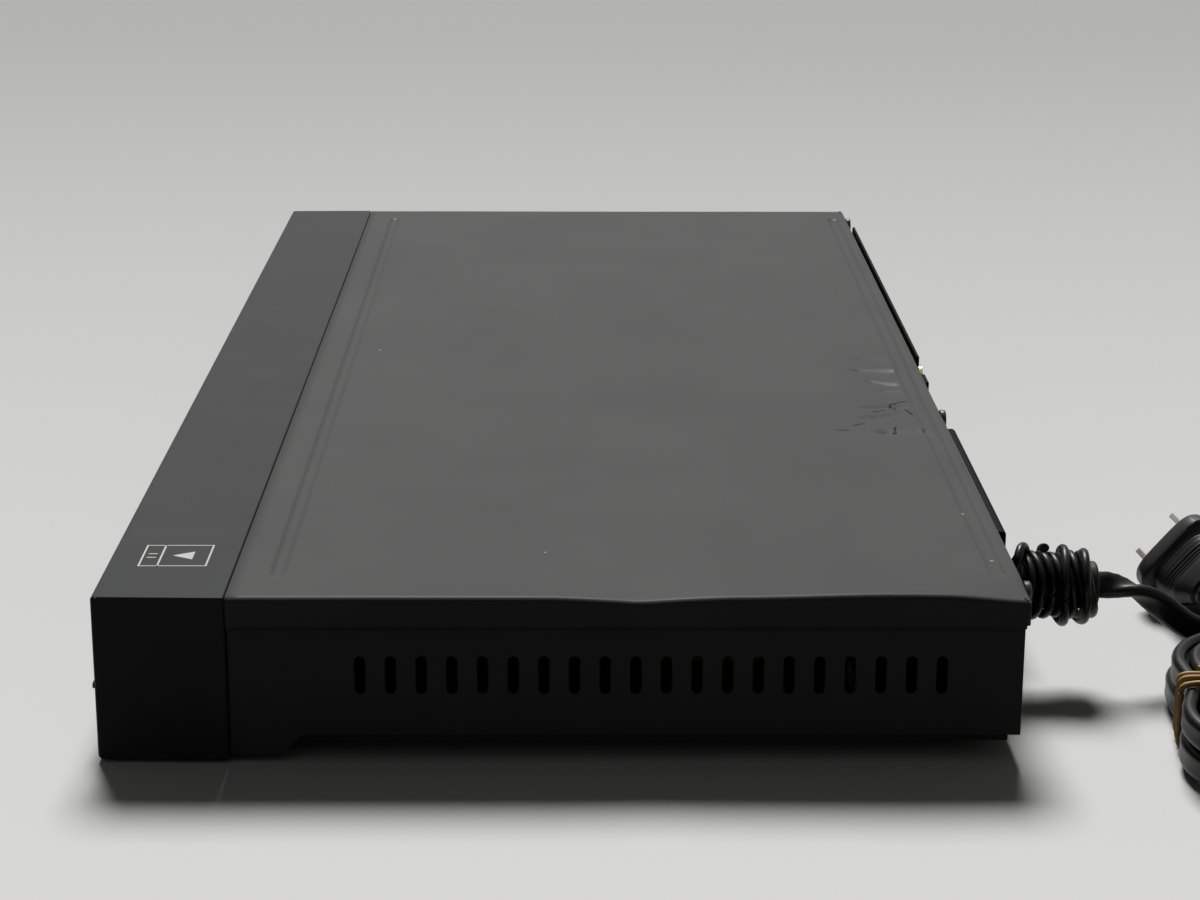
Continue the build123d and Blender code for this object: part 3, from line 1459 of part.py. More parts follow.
def make_pickup_lens():
    """The domed objective lens in its ring."""
    ring = post(loader_x, sled_y, 3.0, (sled_top_z, lens_top_z - 1.0))
    dome = Pos(loader_x, sled_y, lens_top_z - 4.0) * Sphere(4.0)
    return ring + (dome & post(loader_x, sled_y, 2.6, (lens_top_z - 1.0, lens_top_z + 1)))


def make_feed_gear():
    """The double gear that moves the sled."""
    wheel_z = (feed_wheel_low_z, feed_wheel_high_z)
    wheel = gear(feed_x, feed_y, feed_wheel_teeth, feed_module, feed_motor_angle, wheel_z)
    upper = gear(feed_x, feed_y, pinion_teeth, feed_module, 0.0, (feed_wheel_high_z, feed_rack_high_z))
    return wheel + upper - post(feed_x, feed_y, 1.0 + running_gap, (0, 60))


def make_feed_pinion():
    """The pinion pressed on the feed motor's shaft."""
    phase = feed_motor_angle + 180 + 180.0 / pinion_teeth
    z = (feed_wheel_low_z, feed_wheel_high_z)
    teeth = gear(feed_motor_x, feed_motor_y, pinion_teeth, feed_module, phase, z)
    return teeth - post(feed_motor_x, feed_motor_y, 0.75 + running_gap, (0, 60))


def make_feed_motor():
    """The feed motor under the traverse plate's ear, with its shaft downwards."""
    low = feed_wheel_high_z + 0.5
    can = post(feed_motor_x, feed_motor_y, feed_motor_r, (low, traverse_plate_z))
    top = post(feed_motor_x, feed_motor_y, 2.0, (traverse_plate_z - 1, traverse_plate_z + traverse_plate))
    return can + top + post(feed_motor_x, feed_motor_y, 0.75, (feed_wheel_low_z, low + 1))


def make_cam_slider():
    """The sliding plate whose sloped slot lifts the traverse's front."""
    pin_z, drop = lift_slot_points()
    x = (loader_x - cam_margin, loader_x + cam_travel + cam_margin)
    y = (cam_y - cam_thickness / 2, cam_y + cam_thickness / 2)
    plate = block(x, y, (cam_low_z, cam_high_z))
    rail_x = (x[0] - cam_rail_left, x[1] + cam_rail_right)
    rail = block(rail_x, y, (cam_low_z, cam_low_z + cam_rail_height))
    slot_r = lift_pin_r + cam_slot_gap
    slope = atan2(drop, cam_travel)
    length = hypot(cam_travel, drop)
    middle = (loader_x + cam_travel / 2, cam_y - 5, pin_z - drop / 2)
    slot = extrude(SlotCenterToCenter(length, 2 * slot_r), 10)
    slot = Pos(*middle) * Rot(0, degrees(slope), 0) * Rot(-90, 0, 0) * slot
    return plate + rail - slot


def board_plate(limits, places):
    """A circuit board with the holes for its posts."""
    x0, x1, y0, y1 = limits
    plate = block((x0, x1), (y0, y1), (board_low_z, board_low_z + board))
    for x, y in places:
        plate -= post(x, y, board_screw_r + sheet_gap, (0, 60))
    return plate


def make_board_screws():
    """Pan-headed screws that hold the boards on their posts."""
    screws = []
    top = board_low_z + board
    for x, y in board_posts():
        head = post(x, y, board_screw_head_r, (top, top + board_screw_head))
        head = fillet(head.faces().sort_by(Axis.Z)[-1].edges(), 0.5)
        screws.append(head + post(x, y, board_screw_r, (pan_floor_top + 0.5, top)))
    return screws


def make_main_chips():
    """Packages on the main board: decoder, memories, converter, crystal and connectors."""
    top = board_low_z + board
    chips = []
    for share_x, share_y, width, length, height in chip_table:
        middle_x, middle_y = board_point(main_board_limits, (share_x, share_y))
        x = (middle_x - width / 2, middle_x + width / 2)
        y = (middle_y - length / 2, middle_y + length / 2)
        chips.append(block(x, y, (top, top + height)))
    return chips


def board_point(limits, shares):
    """A place on a board, at these shares of its width and length."""
    x0, x1, y0, y1 = limits
    return x0 + shares[0] * (x1 - x0), y0 + shares[1] * (y1 - y0)


def make_transformer():
    """The switching transformer: core halves and taped winding."""
    top = board_low_z + board
    x, y = board_point(power_board_limits, transformer_place)
    high = top + core_height
    core = block((x - core_half_x, x + core_half_x), (y - core_half_y, y + core_half_y), (top, high))
    window_x = winding_half_x + winding_gap
    window_y = (y - core_half_y - 1, y + core_half_y + 1)
    core -= block((x - window_x, x + window_x), window_y, (top + core_yoke, high - core_yoke))
    winding_z = (top + core_yoke + winding_gap, high - core_yoke - winding_gap)
    winding_y = (y - winding_half_y, y + winding_half_y)
    winding = block((x - winding_half_x, x + winding_half_x), winding_y, winding_z)
    return [core, fillet(winding.edges().filter_by(Axis.Z), winding_edge_r)]


def make_capacitors():
    """The upright electrolytic capacitors on the power board."""
    top = board_low_z + board
    cans = []
    for share_x, share_y, r, height in capacitor_table:
        x, y = board_point(power_board_limits, (share_x, share_y))
        can = post(x, y, r, (top, top + height))
        cans.append(fillet(can.faces().sort_by(Axis.Z)[-1].edges(), capacitor_edge_r))
    return cans


def make_heat_sink():
    """The finned aluminium plate with its transistor."""
    top = board_low_z + board
    x, y = board_point(power_board_limits, heat_sink_place)
    z = (top, top + sink_height)
    sink = block((x - sink_half, x + sink_half), (y - 1, y + 1), z)
    pitch = 2 * (sink_half - fin_half) / (fin_count - 1)
    for i in range(fin_count):
        fin_x = x - sink_half + fin_half + pitch * i
        sink += block((fin_x - fin_half, fin_x + fin_half), (y, y + fin_reach), z)
    case_x = (x - transistor_half, x + transistor_half)
    case = block(case_x, (y - 1 - transistor_thick, y - 1), (top + transistor_low, top + transistor_high))
    return [sink, case]


def make_power_fuse():
    """The glass fuse in its clips beside the lead's wires."""
    top = board_low_z + board
    x, y = board_point(power_board_limits, fuse_place)
    axis_z = top + fuse_clip_height - fuse_r / 2
    tube = rod_along_x(y, axis_z, fuse_r, (x - fuse_half_length, x + fuse_half_length))
    for side in (-1, 1):
        middle = x + side * fuse_clip_from_middle
        clip_y = (y - fuse_clip_half_y, y + fuse_clip_half_y)
        tube += block((middle - fuse_r, middle + fuse_r), clip_y, (top, top + fuse_clip_height))
    return tube


def make_flat_cables():
    """The flat cable from the main board up and over to the connector on the front board."""
    top = board_low_z + board
    x, board_y = board_point(main_board_limits, chip_table[-1][:2])
    board_z = top + chip_table[-1][4]
    plug_y = front_board_y + board + cable_plug_depth / 2
    lift = max(cable_plug_high_z, board_z) + cable_rise
    outer = [(plug_y, cable_plug_high_z), (plug_y, lift), (board_y, lift), (board_y, board_z)]
    path = FilletPolyline(*[(0, y, z) for y, z in outer], radius=cable_bend_r)
    wire = Wire(path.edges())
    section = Plane(wire @ 0, x_dir=(1, 0, 0), z_dir=wire % 0) * Rectangle(cable_width, cable_thick)
    cable = Pos(x, 0, 0) * sweep(section, path=wire)
    plug_limits = (front_board_y + board, front_board_y + board + cable_plug_depth)
    plug_x = (x - cable_plug_half, x + cable_plug_half)
    return [cable, block(plug_x, plug_limits, (cable_plug_low_z, cable_plug_high_z))]


nodes = {
    "front_fascia": make_front_fascia(),
    "display_window": make_display_window(),
    "remote_lens": make_remote_lens(),
    "front_boards": make_front_boards(),
    "tact_switches": make_tact_switches(),
    "display_module": make_display_module(),
    "top_cover": make_top_cover(),
    "cover_screws": make_cover_screws(),
    "bottom_pan": make_bottom_pan(),
    "rear_panel": make_rear_panel(),
    "front_feet": make_feet(foot_places()[0]),
    "rear_feet": make_feet(foot_places()[1]),
    "av_jack_block": make_av_jack_block(),
    "video_jack_block": make_video_jack_block(),
    "rca_sleeves": make_rca_sleeves(),
    "rca_inserts": make_rca_inserts(),
    "coax_connector": make_coax_connector(),
    "strain_relief": make_strain_relief(),
    "binding_wire": make_binding_wire(),
    "mains_cord": make_mains_cord(),
    "cord_hank": make_cord_hank(),
    "rubber_band": make_rubber_band(),
    "mains_plug": make_mains_plug(),
    "plug_blades": make_plug_blades(),
    "loader_base": make_loader_base(),
    "disc_tray": make_disc_tray(),
    "tray_door": make_tray_door(),
    "drive_gear": make_drive_gear(),
    "pulley_gear": make_pulley_gear(),
    "motor_pulley": make_motor_pulley(),
    "loading_motor": make_loading_motor(),
    "loading_belt": make_loading_belt(),
    "cam_slider": make_cam_slider(),
    "traverse_frame": make_traverse_frame(),
    "guide_rods": make_guide_rods(),
    "spindle_motor": make_spindle_motor(),
    "turntable": make_turntable(),
    "clamp_bridge": make_clamp_bridge(),
    "clamp_puck": make_clamp_puck(),
    "pickup_sled": make_pickup_sled(),
    "pickup_lens": make_pickup_lens(),
    "feed_motor": make_feed_motor(),
    "feed_gear": make_feed_gear(),
    "feed_pinion": make_feed_pinion(),
    "main_board": board_plate(main_board_limits, corner_posts(main_board_limits)),
    "power_board": board_plate(power_board_limits, corner_posts(power_board_limits)),
    "jack_board": board_plate(jack_board_limits, middle_posts(jack_board_limits)),
    "board_screws": make_board_screws(),
    "main_chips": make_main_chips(),
    "transformer": make_transformer(),
    "capacitors": make_capacitors(),
    "heat_sink": make_heat_sink(),
    "power_fuse": make_power_fuse(),
    "flat_cables": make_flat_cables(),
}
for key_name, key_face in key_faces().items():
    nodes[key_name] = make_key(key_face)

os.makedirs("parts", exist_ok=True)
for node_name, shape in nodes.items():
    pieces = shape if isinstance(shape, list) else [shape]
    solids = [solid for piece in pieces for solid in piece.solids()]
    export_step(Compound(children=solids), f"parts/{node_name}.step")
print(len(nodes), "nodes written")
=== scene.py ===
import json
import logging
from dataclasses import dataclass
from enum import Enum
from math import atan2, ceil, cos, exp, hypot, pi, radians, sin
from typing import Callable, Sequence

import bmesh
import bpy
from mathutils import Matrix, Vector, noise


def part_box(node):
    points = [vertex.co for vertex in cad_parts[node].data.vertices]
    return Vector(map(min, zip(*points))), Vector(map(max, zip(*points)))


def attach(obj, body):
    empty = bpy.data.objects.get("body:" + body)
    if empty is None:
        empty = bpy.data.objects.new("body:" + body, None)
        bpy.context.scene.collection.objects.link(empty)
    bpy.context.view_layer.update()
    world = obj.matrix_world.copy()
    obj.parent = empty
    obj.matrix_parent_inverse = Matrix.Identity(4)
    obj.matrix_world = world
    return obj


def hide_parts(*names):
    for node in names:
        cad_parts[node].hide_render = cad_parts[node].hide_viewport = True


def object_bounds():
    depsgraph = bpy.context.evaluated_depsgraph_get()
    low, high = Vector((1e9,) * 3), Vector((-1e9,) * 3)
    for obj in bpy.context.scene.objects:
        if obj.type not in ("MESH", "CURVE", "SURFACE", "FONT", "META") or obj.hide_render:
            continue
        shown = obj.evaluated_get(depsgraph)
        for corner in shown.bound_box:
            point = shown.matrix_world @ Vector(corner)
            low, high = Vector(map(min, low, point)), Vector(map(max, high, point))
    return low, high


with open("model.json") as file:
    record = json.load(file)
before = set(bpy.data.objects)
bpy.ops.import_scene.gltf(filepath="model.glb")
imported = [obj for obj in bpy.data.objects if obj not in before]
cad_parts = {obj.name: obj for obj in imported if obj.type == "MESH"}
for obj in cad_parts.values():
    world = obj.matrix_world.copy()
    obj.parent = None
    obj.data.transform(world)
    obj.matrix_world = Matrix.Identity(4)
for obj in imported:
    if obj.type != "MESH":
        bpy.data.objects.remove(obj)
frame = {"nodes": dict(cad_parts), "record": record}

CAD_LOW, CAD_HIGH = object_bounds()
MM = 0.001
CASE = "case"
SAME_PLACE = 1e-6
SAME_POINT = 1e-7
FACING = 0.5

log = logging.getLogger("disc_player")


def smooth_step(low: float, high: float, value: float) -> float:
    """A soft rise from 0 at low to 1 at high."""
    share = min(max((value - low) / (high - low), 0.0), 1.0)
    return share * share * (3 - 2 * share)


def bell(value: float, width: float) -> float:
    """A soft bump of height 1 that is gone at about twice the width."""
    return exp(-((value / width) ** 2))


def even_steps(start: float, step: float, count: int) -> list:
    """As many places as count, from start on by an even step."""
    return [start + step * i for i in range(count)]


class NodeBoard:
    """Places and joins the nodes of one shader tree."""

    def __init__(self, tree: bpy.types.NodeTree) -> None:
        """Takes the tree to work on."""
        self.tree = tree

    def add(self, kind: str, **settings: object) -> bpy.types.Node:
        """A new node with its settings.

        Args:
            kind: the node's type name.
            settings: the node's properties by name.

        Returns:
            The node.
        """
        node = self.tree.nodes.new(kind)
        for name, value in settings.items():
            setattr(node, name, value)
        return node

    def feed(self, socket: bpy.types.NodeSocket, value: object) -> None:
        """Joins an output to the socket, or sets the socket's own value.

        Args:
            socket: the input to feed.
            value: an output socket, or a plain value.
        """
        if isinstance(value, bpy.types.NodeSocket):
            self.tree.links.new(value, socket)
        else:
            socket.default_value = value

    def math(self, operation: str, *values: object, clamp: bool = False) -> bpy.types.NodeSocket:
        """The result of a Math node on these values.

        Args:
            operation: the node's operation.
            values: sockets or numbers, in the order of its inputs.
            clamp: whether it is held between 0 and 1.

        Returns:
            The node's output.
        """
        node = self.add("ShaderNodeMath", operation=operation, use_clamp=clamp)
        for socket, value in zip(node.inputs, values):
            self.feed(socket, value)
        return node.outputs[0]

    def vector(self, operation: str, *values: object, output: str = "Vector") -> bpy.types.NodeSocket:
        """The result of a Vector Math node on these values.

        Args:
            operation: the node's operation.
            values: sockets or vectors, in the order of its inputs.
            output: the name of the output.

        Returns:
            The chosen output.
        """
        node = self.add("ShaderNodeVectorMath", operation=operation)
        for socket, value in zip(node.inputs, values):
            self.feed(socket, value)
        return node.outputs[output]

    def scaled(self, vector: object, scale: object) -> bpy.types.NodeSocket:
        """A vector times a number.

        Args:
            vector: a socket or a vector.
            scale: a socket or a number.

        Returns:
            The scaled vector.
        """
        node = self.add("ShaderNodeVectorMath", operation="SCALE")
        self.feed(node.inputs["Vector"], vector)
        self.feed(node.inputs["Scale"], scale)
        return node.outputs["Vector"]

    def noise(self, place: object, scale: object, detail: float, output: str = "Fac") -> bpy.types.NodeSocket:
        """A noise pattern at that many waves per metre.

        Args:
            place: where the pattern is read.
            scale: its waves per metre.
            detail: how many finer layers it has.
            output: the name of the output.

        Returns:
            The chosen output.
        """
        node = self.add("ShaderNodeTexNoise")
        self.feed(node.inputs["Vector"], place)
        self.feed(node.inputs["Scale"], scale)
        self.feed(node.inputs["Detail"], detail)
        return node.outputs[output]

    def ramp(
        self, value: object, low: float, high: float, start: float = 0.0, end: float = 1.0,
    ) -> bpy.types.NodeSocket:
        """A soft rise between two values.

        Args:
            value: the socket to read.
            low: where the rise begins.
            high: where it ends.
            start: the result at low.
            end: the result at high.

        Returns:
            The value after the rise.
        """
        node = self.add("ShaderNodeMapRange", interpolation_type="SMOOTHSTEP")
        for socket, number in zip(node.inputs, (value, low, high, start, end)):
            self.feed(socket, number)
        return node.outputs[0]

    def mix(self, share: object, first: object, second: object) -> bpy.types.NodeSocket:
        """Two colours mixed by a share.

        Args:
            share: how much of the second.
            first: the colour at share 0.
            second: the colour at share 1.

        Returns:
            The mixed colour.
        """
        node = self.add("ShaderNodeMix", data_type="RGBA")
        self.feed(node.inputs["Factor"], share)
        self.feed(node.inputs[6], first)
        self.feed(node.inputs[7], second)
        return node.outputs[2]


def new_group(name: str, inputs: Sequence[tuple], outputs: Sequence[tuple]) -> tuple:
    """A shader node group with named sockets.

    Args:
        name: the group's name.
        inputs: (name, socket type, value) of each input.
        outputs: (name, socket type) of each output.

    Returns:
        The tree, its board, its input node and its output node.
    """
    tree = bpy.data.node_groups.new(name, "ShaderNodeTree")
    for label, kind, value in inputs:
        socket = tree.interface.new_socket(name=label, in_out="INPUT", socket_type=kind)
        socket.default_value = value
    for label, kind in outputs:
        tree.interface.new_socket(name=label, in_out="OUTPUT", socket_type=kind)
    board = NodeBoard(tree)
    return tree, board, board.add("NodeGroupInput"), board.add("NodeGroupOutput")


class SharedGroups:
    """The node groups that several materials use, each built once."""

    FLOAT = "NodeSocketFloat"
    COLOUR = "NodeSocketColor"
    MOTTLE_RANGE = (0.3, 0.7)
    SMEAR_WAVES = (9.0, 34.0, 20.0)
    DUST_WAVES = 260.0
    DUST_SPECK = (0.10, 0.05)
    DUST_PATCHES = 70.0
    DUST_OVER = 0.60
    DUST_ROUGHNESS = 0.3
    DUST_HEIGHT = 0.5
    WANDER_WAVES = 260.0
    STROKE_ENDS = (0.0, 0.5, 0.35, 1.0)
    STROKE_EDGE = (1.0, 0.45)

    def __init__(self) -> None:
        """Builds both groups."""
        self.surface = self.build_surface()
        self.stroke = self.build_stroke()

    def build_surface(self) -> bpy.types.NodeTree:
        """Grain, mottling, handling marks and dust of a moulded or painted surface.

        Returns:
            The group's tree.
        """
        tree, board, given, result = new_group(
            "surface_detail",
            [
                ("Colour", self.COLOUR, (0.5, 0.5, 0.5, 1)),
                ("Shade", self.COLOUR, (0.4, 0.4, 0.4, 1)),
                ("Dust Colour", self.COLOUR, (0.4, 0.4, 0.4, 1)),
                ("Mottle", self.FLOAT, 0.5),
                ("Mottle Scale", self.FLOAT, 60.0),
                ("Grain Scale", self.FLOAT, 2000.0),
                ("Roughness", self.FLOAT, 0.5),
                ("Spread", self.FLOAT, 0.1),
                ("Dust", self.FLOAT, 0.0),
            ],
            [("Colour", self.COLOUR), ("Roughness", self.FLOAT), ("Height", self.FLOAT)],
        )
        place = board.add("ShaderNodeTexCoord").outputs["Object"]
        broad = board.noise(place, given.outputs["Mottle Scale"], 4.0)
        fine = board.noise(place, given.outputs["Grain Scale"], 2.0)
        smear = board.noise(board.vector("MULTIPLY", place, self.SMEAR_WAVES), 1.0, 5.0)
        mottled = board.math("MULTIPLY", board.ramp(broad, *self.MOTTLE_RANGE), given.outputs["Mottle"])
        colour = board.mix(mottled, given.outputs["Colour"], given.outputs["Shade"])
        cells = board.add("ShaderNodeTexVoronoi")
        board.feed(cells.inputs["Vector"], place)
        board.feed(cells.inputs["Scale"], self.DUST_WAVES)
        speck = board.ramp(cells.outputs["Distance"], *self.DUST_SPECK)
        patch = board.math("GREATER_THAN", board.noise(place, self.DUST_PATCHES, 1.0), self.DUST_OVER)
        dusty = board.math("MULTIPLY", board.math("MULTIPLY", speck, patch), given.outputs["Dust"])
        board.feed(result.inputs["Colour"], board.mix(dusty, colour, given.outputs["Dust Colour"]))
        uneven = board.math("SUBTRACT", board.math("ADD", broad, smear), 1.0)
        shifted = board.math("MULTIPLY_ADD", uneven, given.outputs["Spread"], given.outputs["Roughness"])
        dull_dust = board.math("MULTIPLY", dusty, self.DUST_ROUGHNESS)
        board.feed(result.inputs["Roughness"], board.math("ADD", shifted, dull_dust, clamp=True))
        raised_dust = board.math("MULTIPLY", dusty, self.DUST_HEIGHT)
        board.feed(result.inputs["Height"], board.math("ADD", fine, raised_dust))
        return tree

    def build_stroke(self) -> bpy.types.NodeTree:
        """A worn line between two places in plan, 1 on the line and 0 away from it.

        Returns:
            The group's tree.
        """
        tree, board, given, result = new_group(
            "worn_stroke",
            [
                ("From", "NodeSocketVector", (0, 0, 0)),
                ("To", "NodeSocketVector", (0.01, 0, 0)),
                ("Width", self.FLOAT, 0.0006),
                ("Wander", self.FLOAT, 0.001),
            ],
            [("Mask", self.FLOAT)],
        )
        place = board.add("ShaderNodeTexCoord").outputs["Object"]
        flat = board.vector("MULTIPLY", place, (1, 1, 0))
        waves = board.noise(flat, self.WANDER_WAVES, 3.0, "Color")
        drift = board.vector("SUBTRACT", waves, (0.5, 0.5, 0.5))
        flat_drift = board.vector("MULTIPLY", drift, (1, 1, 0))
        moved = board.vector("ADD", flat, board.scaled(flat_drift, given.outputs["Wander"]))
        along = board.vector("SUBTRACT", given.outputs["To"], given.outputs["From"])
        offset = board.vector("SUBTRACT", moved, given.outputs["From"])
        reach = board.math(
            "DIVIDE",
            board.vector("DOT_PRODUCT", offset, along, output="Value"),
            board.vector("DOT_PRODUCT", along, along, output="Value"),
            clamp=True,
        )
        apart = board.vector("SUBTRACT", offset, board.scaled(along, reach))
        distance = board.vector("LENGTH", apart, output="Value")
        from_middle = board.math("ABSOLUTE", board.math("MULTIPLY_ADD", reach, 2.0, -1.0))
        taper = board.math("SUBTRACT", 1.0, from_middle)
        width = board.math("MULTIPLY", given.outputs["Width"], board.ramp(taper, *self.STROKE_ENDS))
        edge = board.math("DIVIDE", distance, width)
        board.feed(result.inputs["Mask"], board.ramp(edge, *self.STROKE_EDGE))
        return tree


GROUPS = SharedGroups()


@dataclass(frozen=True)
class Finish:
    """A finish of one material slot. Depths are in metres, scales in waves per metre."""

    colour: tuple
    shade: tuple
    roughness: float = 0.5
    spread: float = 0.1
    metallic: float = 0.0
    specular: float = 0.5
    mottle: float = 0.5
    mottle_scale: float = 60.0
    grain_scale: float = 2200.0
    grain_depth: float = 0.00002
    dust: float = 0.0
    dust_colour: tuple = (0.22, 0.22, 0.21)
    coat: float = 0.0
    coat_roughness: float = 0.15
    transmission: float = 0.0
    alpha: float = 1.0

    def material(self, name: str) -> bpy.types.Material:
        """The finish as a node material.

        Args:
            name: the material's name.

        Returns:
            The material.
        """
        made = bpy.data.materials.new(name)
        made.use_nodes = True
        made.node_tree.nodes.clear()
        board = NodeBoard(made.node_tree)
        surface = board.add("ShaderNodeGroup", node_tree=GROUPS.surface)
        for label, value in (
            ("Colour", (*self.colour, 1)),
            ("Shade", (*self.shade, 1)),
            ("Dust Colour", (*self.dust_colour, 1)),
            ("Mottle", self.mottle),
            ("Mottle Scale", self.mottle_scale),
            ("Grain Scale", self.grain_scale),
            ("Roughness", self.roughness),
            ("Spread", self.spread),
            ("Dust", self.dust),
        ):
            surface.inputs[label].default_value = value
        colour, height = self.marked(board, surface.outputs["Colour"], surface.outputs["Height"])
        bump = board.add("ShaderNodeBump")
        bump.inputs["Strength"].default_value = 1.0
        bump.inputs["Distance"].default_value = self.grain_depth
        board.feed(bump.inputs["Height"], height)
        shader = board.add("ShaderNodeBsdfPrincipled")
        board.feed(shader.inputs["Base Color"], colour)
        board.feed(shader.inputs["Roughness"], surface.outputs["Roughness"])
        board.feed(shader.inputs["Normal"], bump.outputs["Normal"])
        shader.inputs["Metallic"].default_value = self.metallic
        shader.inputs["Specular IOR Level"].default_value = self.specular
        shader.inputs["Coat Weight"].default_value = self.coat
        shader.inputs["Coat Roughness"].default_value = self.coat_roughness
        shader.inputs["Transmission Weight"].default_value = self.transmission
        shader.inputs["Alpha"].default_value = self.alpha
        board.feed(board.add("ShaderNodeOutputMaterial").inputs["Surface"], shader.outputs["BSDF"])
        return made

    def marked(self, board: NodeBoard, colour: object, height: object) -> tuple:
        """The colour and height after the marks of use that only this finish has."""
        return colour, height


@dataclass(frozen=True)
class Stroke:
    """A worn line on the cover, from place to place in plan, in millimetres."""

    start: tuple
    end: tuple
    width: float = 0.55


@dataclass(frozen=True)
class DentedPaint(Finish):
    """Black satin paint with cracks at the dent and small pale chips."""

    cracks: tuple = ()
    chips: tuple = ()
    crack_colour: tuple = (0.0015, 0.0015, 0.0015)
    chip_colour: tuple = (0.42, 0.42, 0.40)
    crack_depth: float = -9.0
    wander: float = 2.2

    def marked(self, board: NodeBoard, colour: object, height: object) -> tuple:
        """Adds the cracks and the chips.

        Args:
            board: the material's board.
            colour: the colour so far.
            height: the height so far.

        Returns:
            The colour and the height with the marks.
        """
        for strokes, tint in ((self.cracks, self.crack_colour), (self.chips, self.chip_colour)):
            for stroke in strokes:
                line = board.add("ShaderNodeGroup", node_tree=GROUPS.stroke)
                line.inputs["From"].default_value = (stroke.start[0] * MM, stroke.start[1] * MM, 0)
                line.inputs["To"].default_value = (stroke.end[0] * MM, stroke.end[1] * MM, 0)
                line.inputs["Width"].default_value = stroke.width * MM
                line.inputs["Wander"].default_value = self.wander * MM
                mask = line.outputs["Mask"]
                colour = board.mix(mask, colour, (*tint, 1))
                height = board.math("MULTIPLY_ADD", mask, self.crack_depth, height)
        return colour, height


CRACKS = (
    Stroke((55.5, 87.5), (60.5, 88.6)),
    Stroke((52.0, 90.2), (55.5, 87.5)),
    Stroke((50.5, 93.0), (52.0, 90.2)),
    Stroke((64.0, 82.0), (61.0, 86.0), 0.45),
    Stroke((59.5, 82.0), (58.5, 86.0), 0.4),
    Stroke((70.4, 78.5), (66.0, 88.5), 0.4),
    Stroke((82.5, 70.0), (81.8, 74.0), 0.5),
    Stroke((78.0, 75.0), (75.5, 78.5), 0.4),
    Stroke((85.3, 84.0), (85.0, 87.5), 0.5),
    Stroke((84.4, 85.0), (78.5, 87.0), 0.45),
    Stroke((59.5, 91.5), (66.0, 93.2), 0.45),
)
CHIPS = (
    Stroke((154.2, 94.3), (154.9, 94.6), 0.45),
    Stroke((188.3, 95.7), (188.9, 96.2), 0.5),
    Stroke((-3.9, -57.6), (-3.2, -57.2), 0.35),
    Stroke((183.4, -6.2), (184.0, -5.7), 0.35),
)

BLACK_PAINT = dict(colour=(0.088, 0.088, 0.0875), shade=(0.103, 0.103, 0.102), specular=0.03)

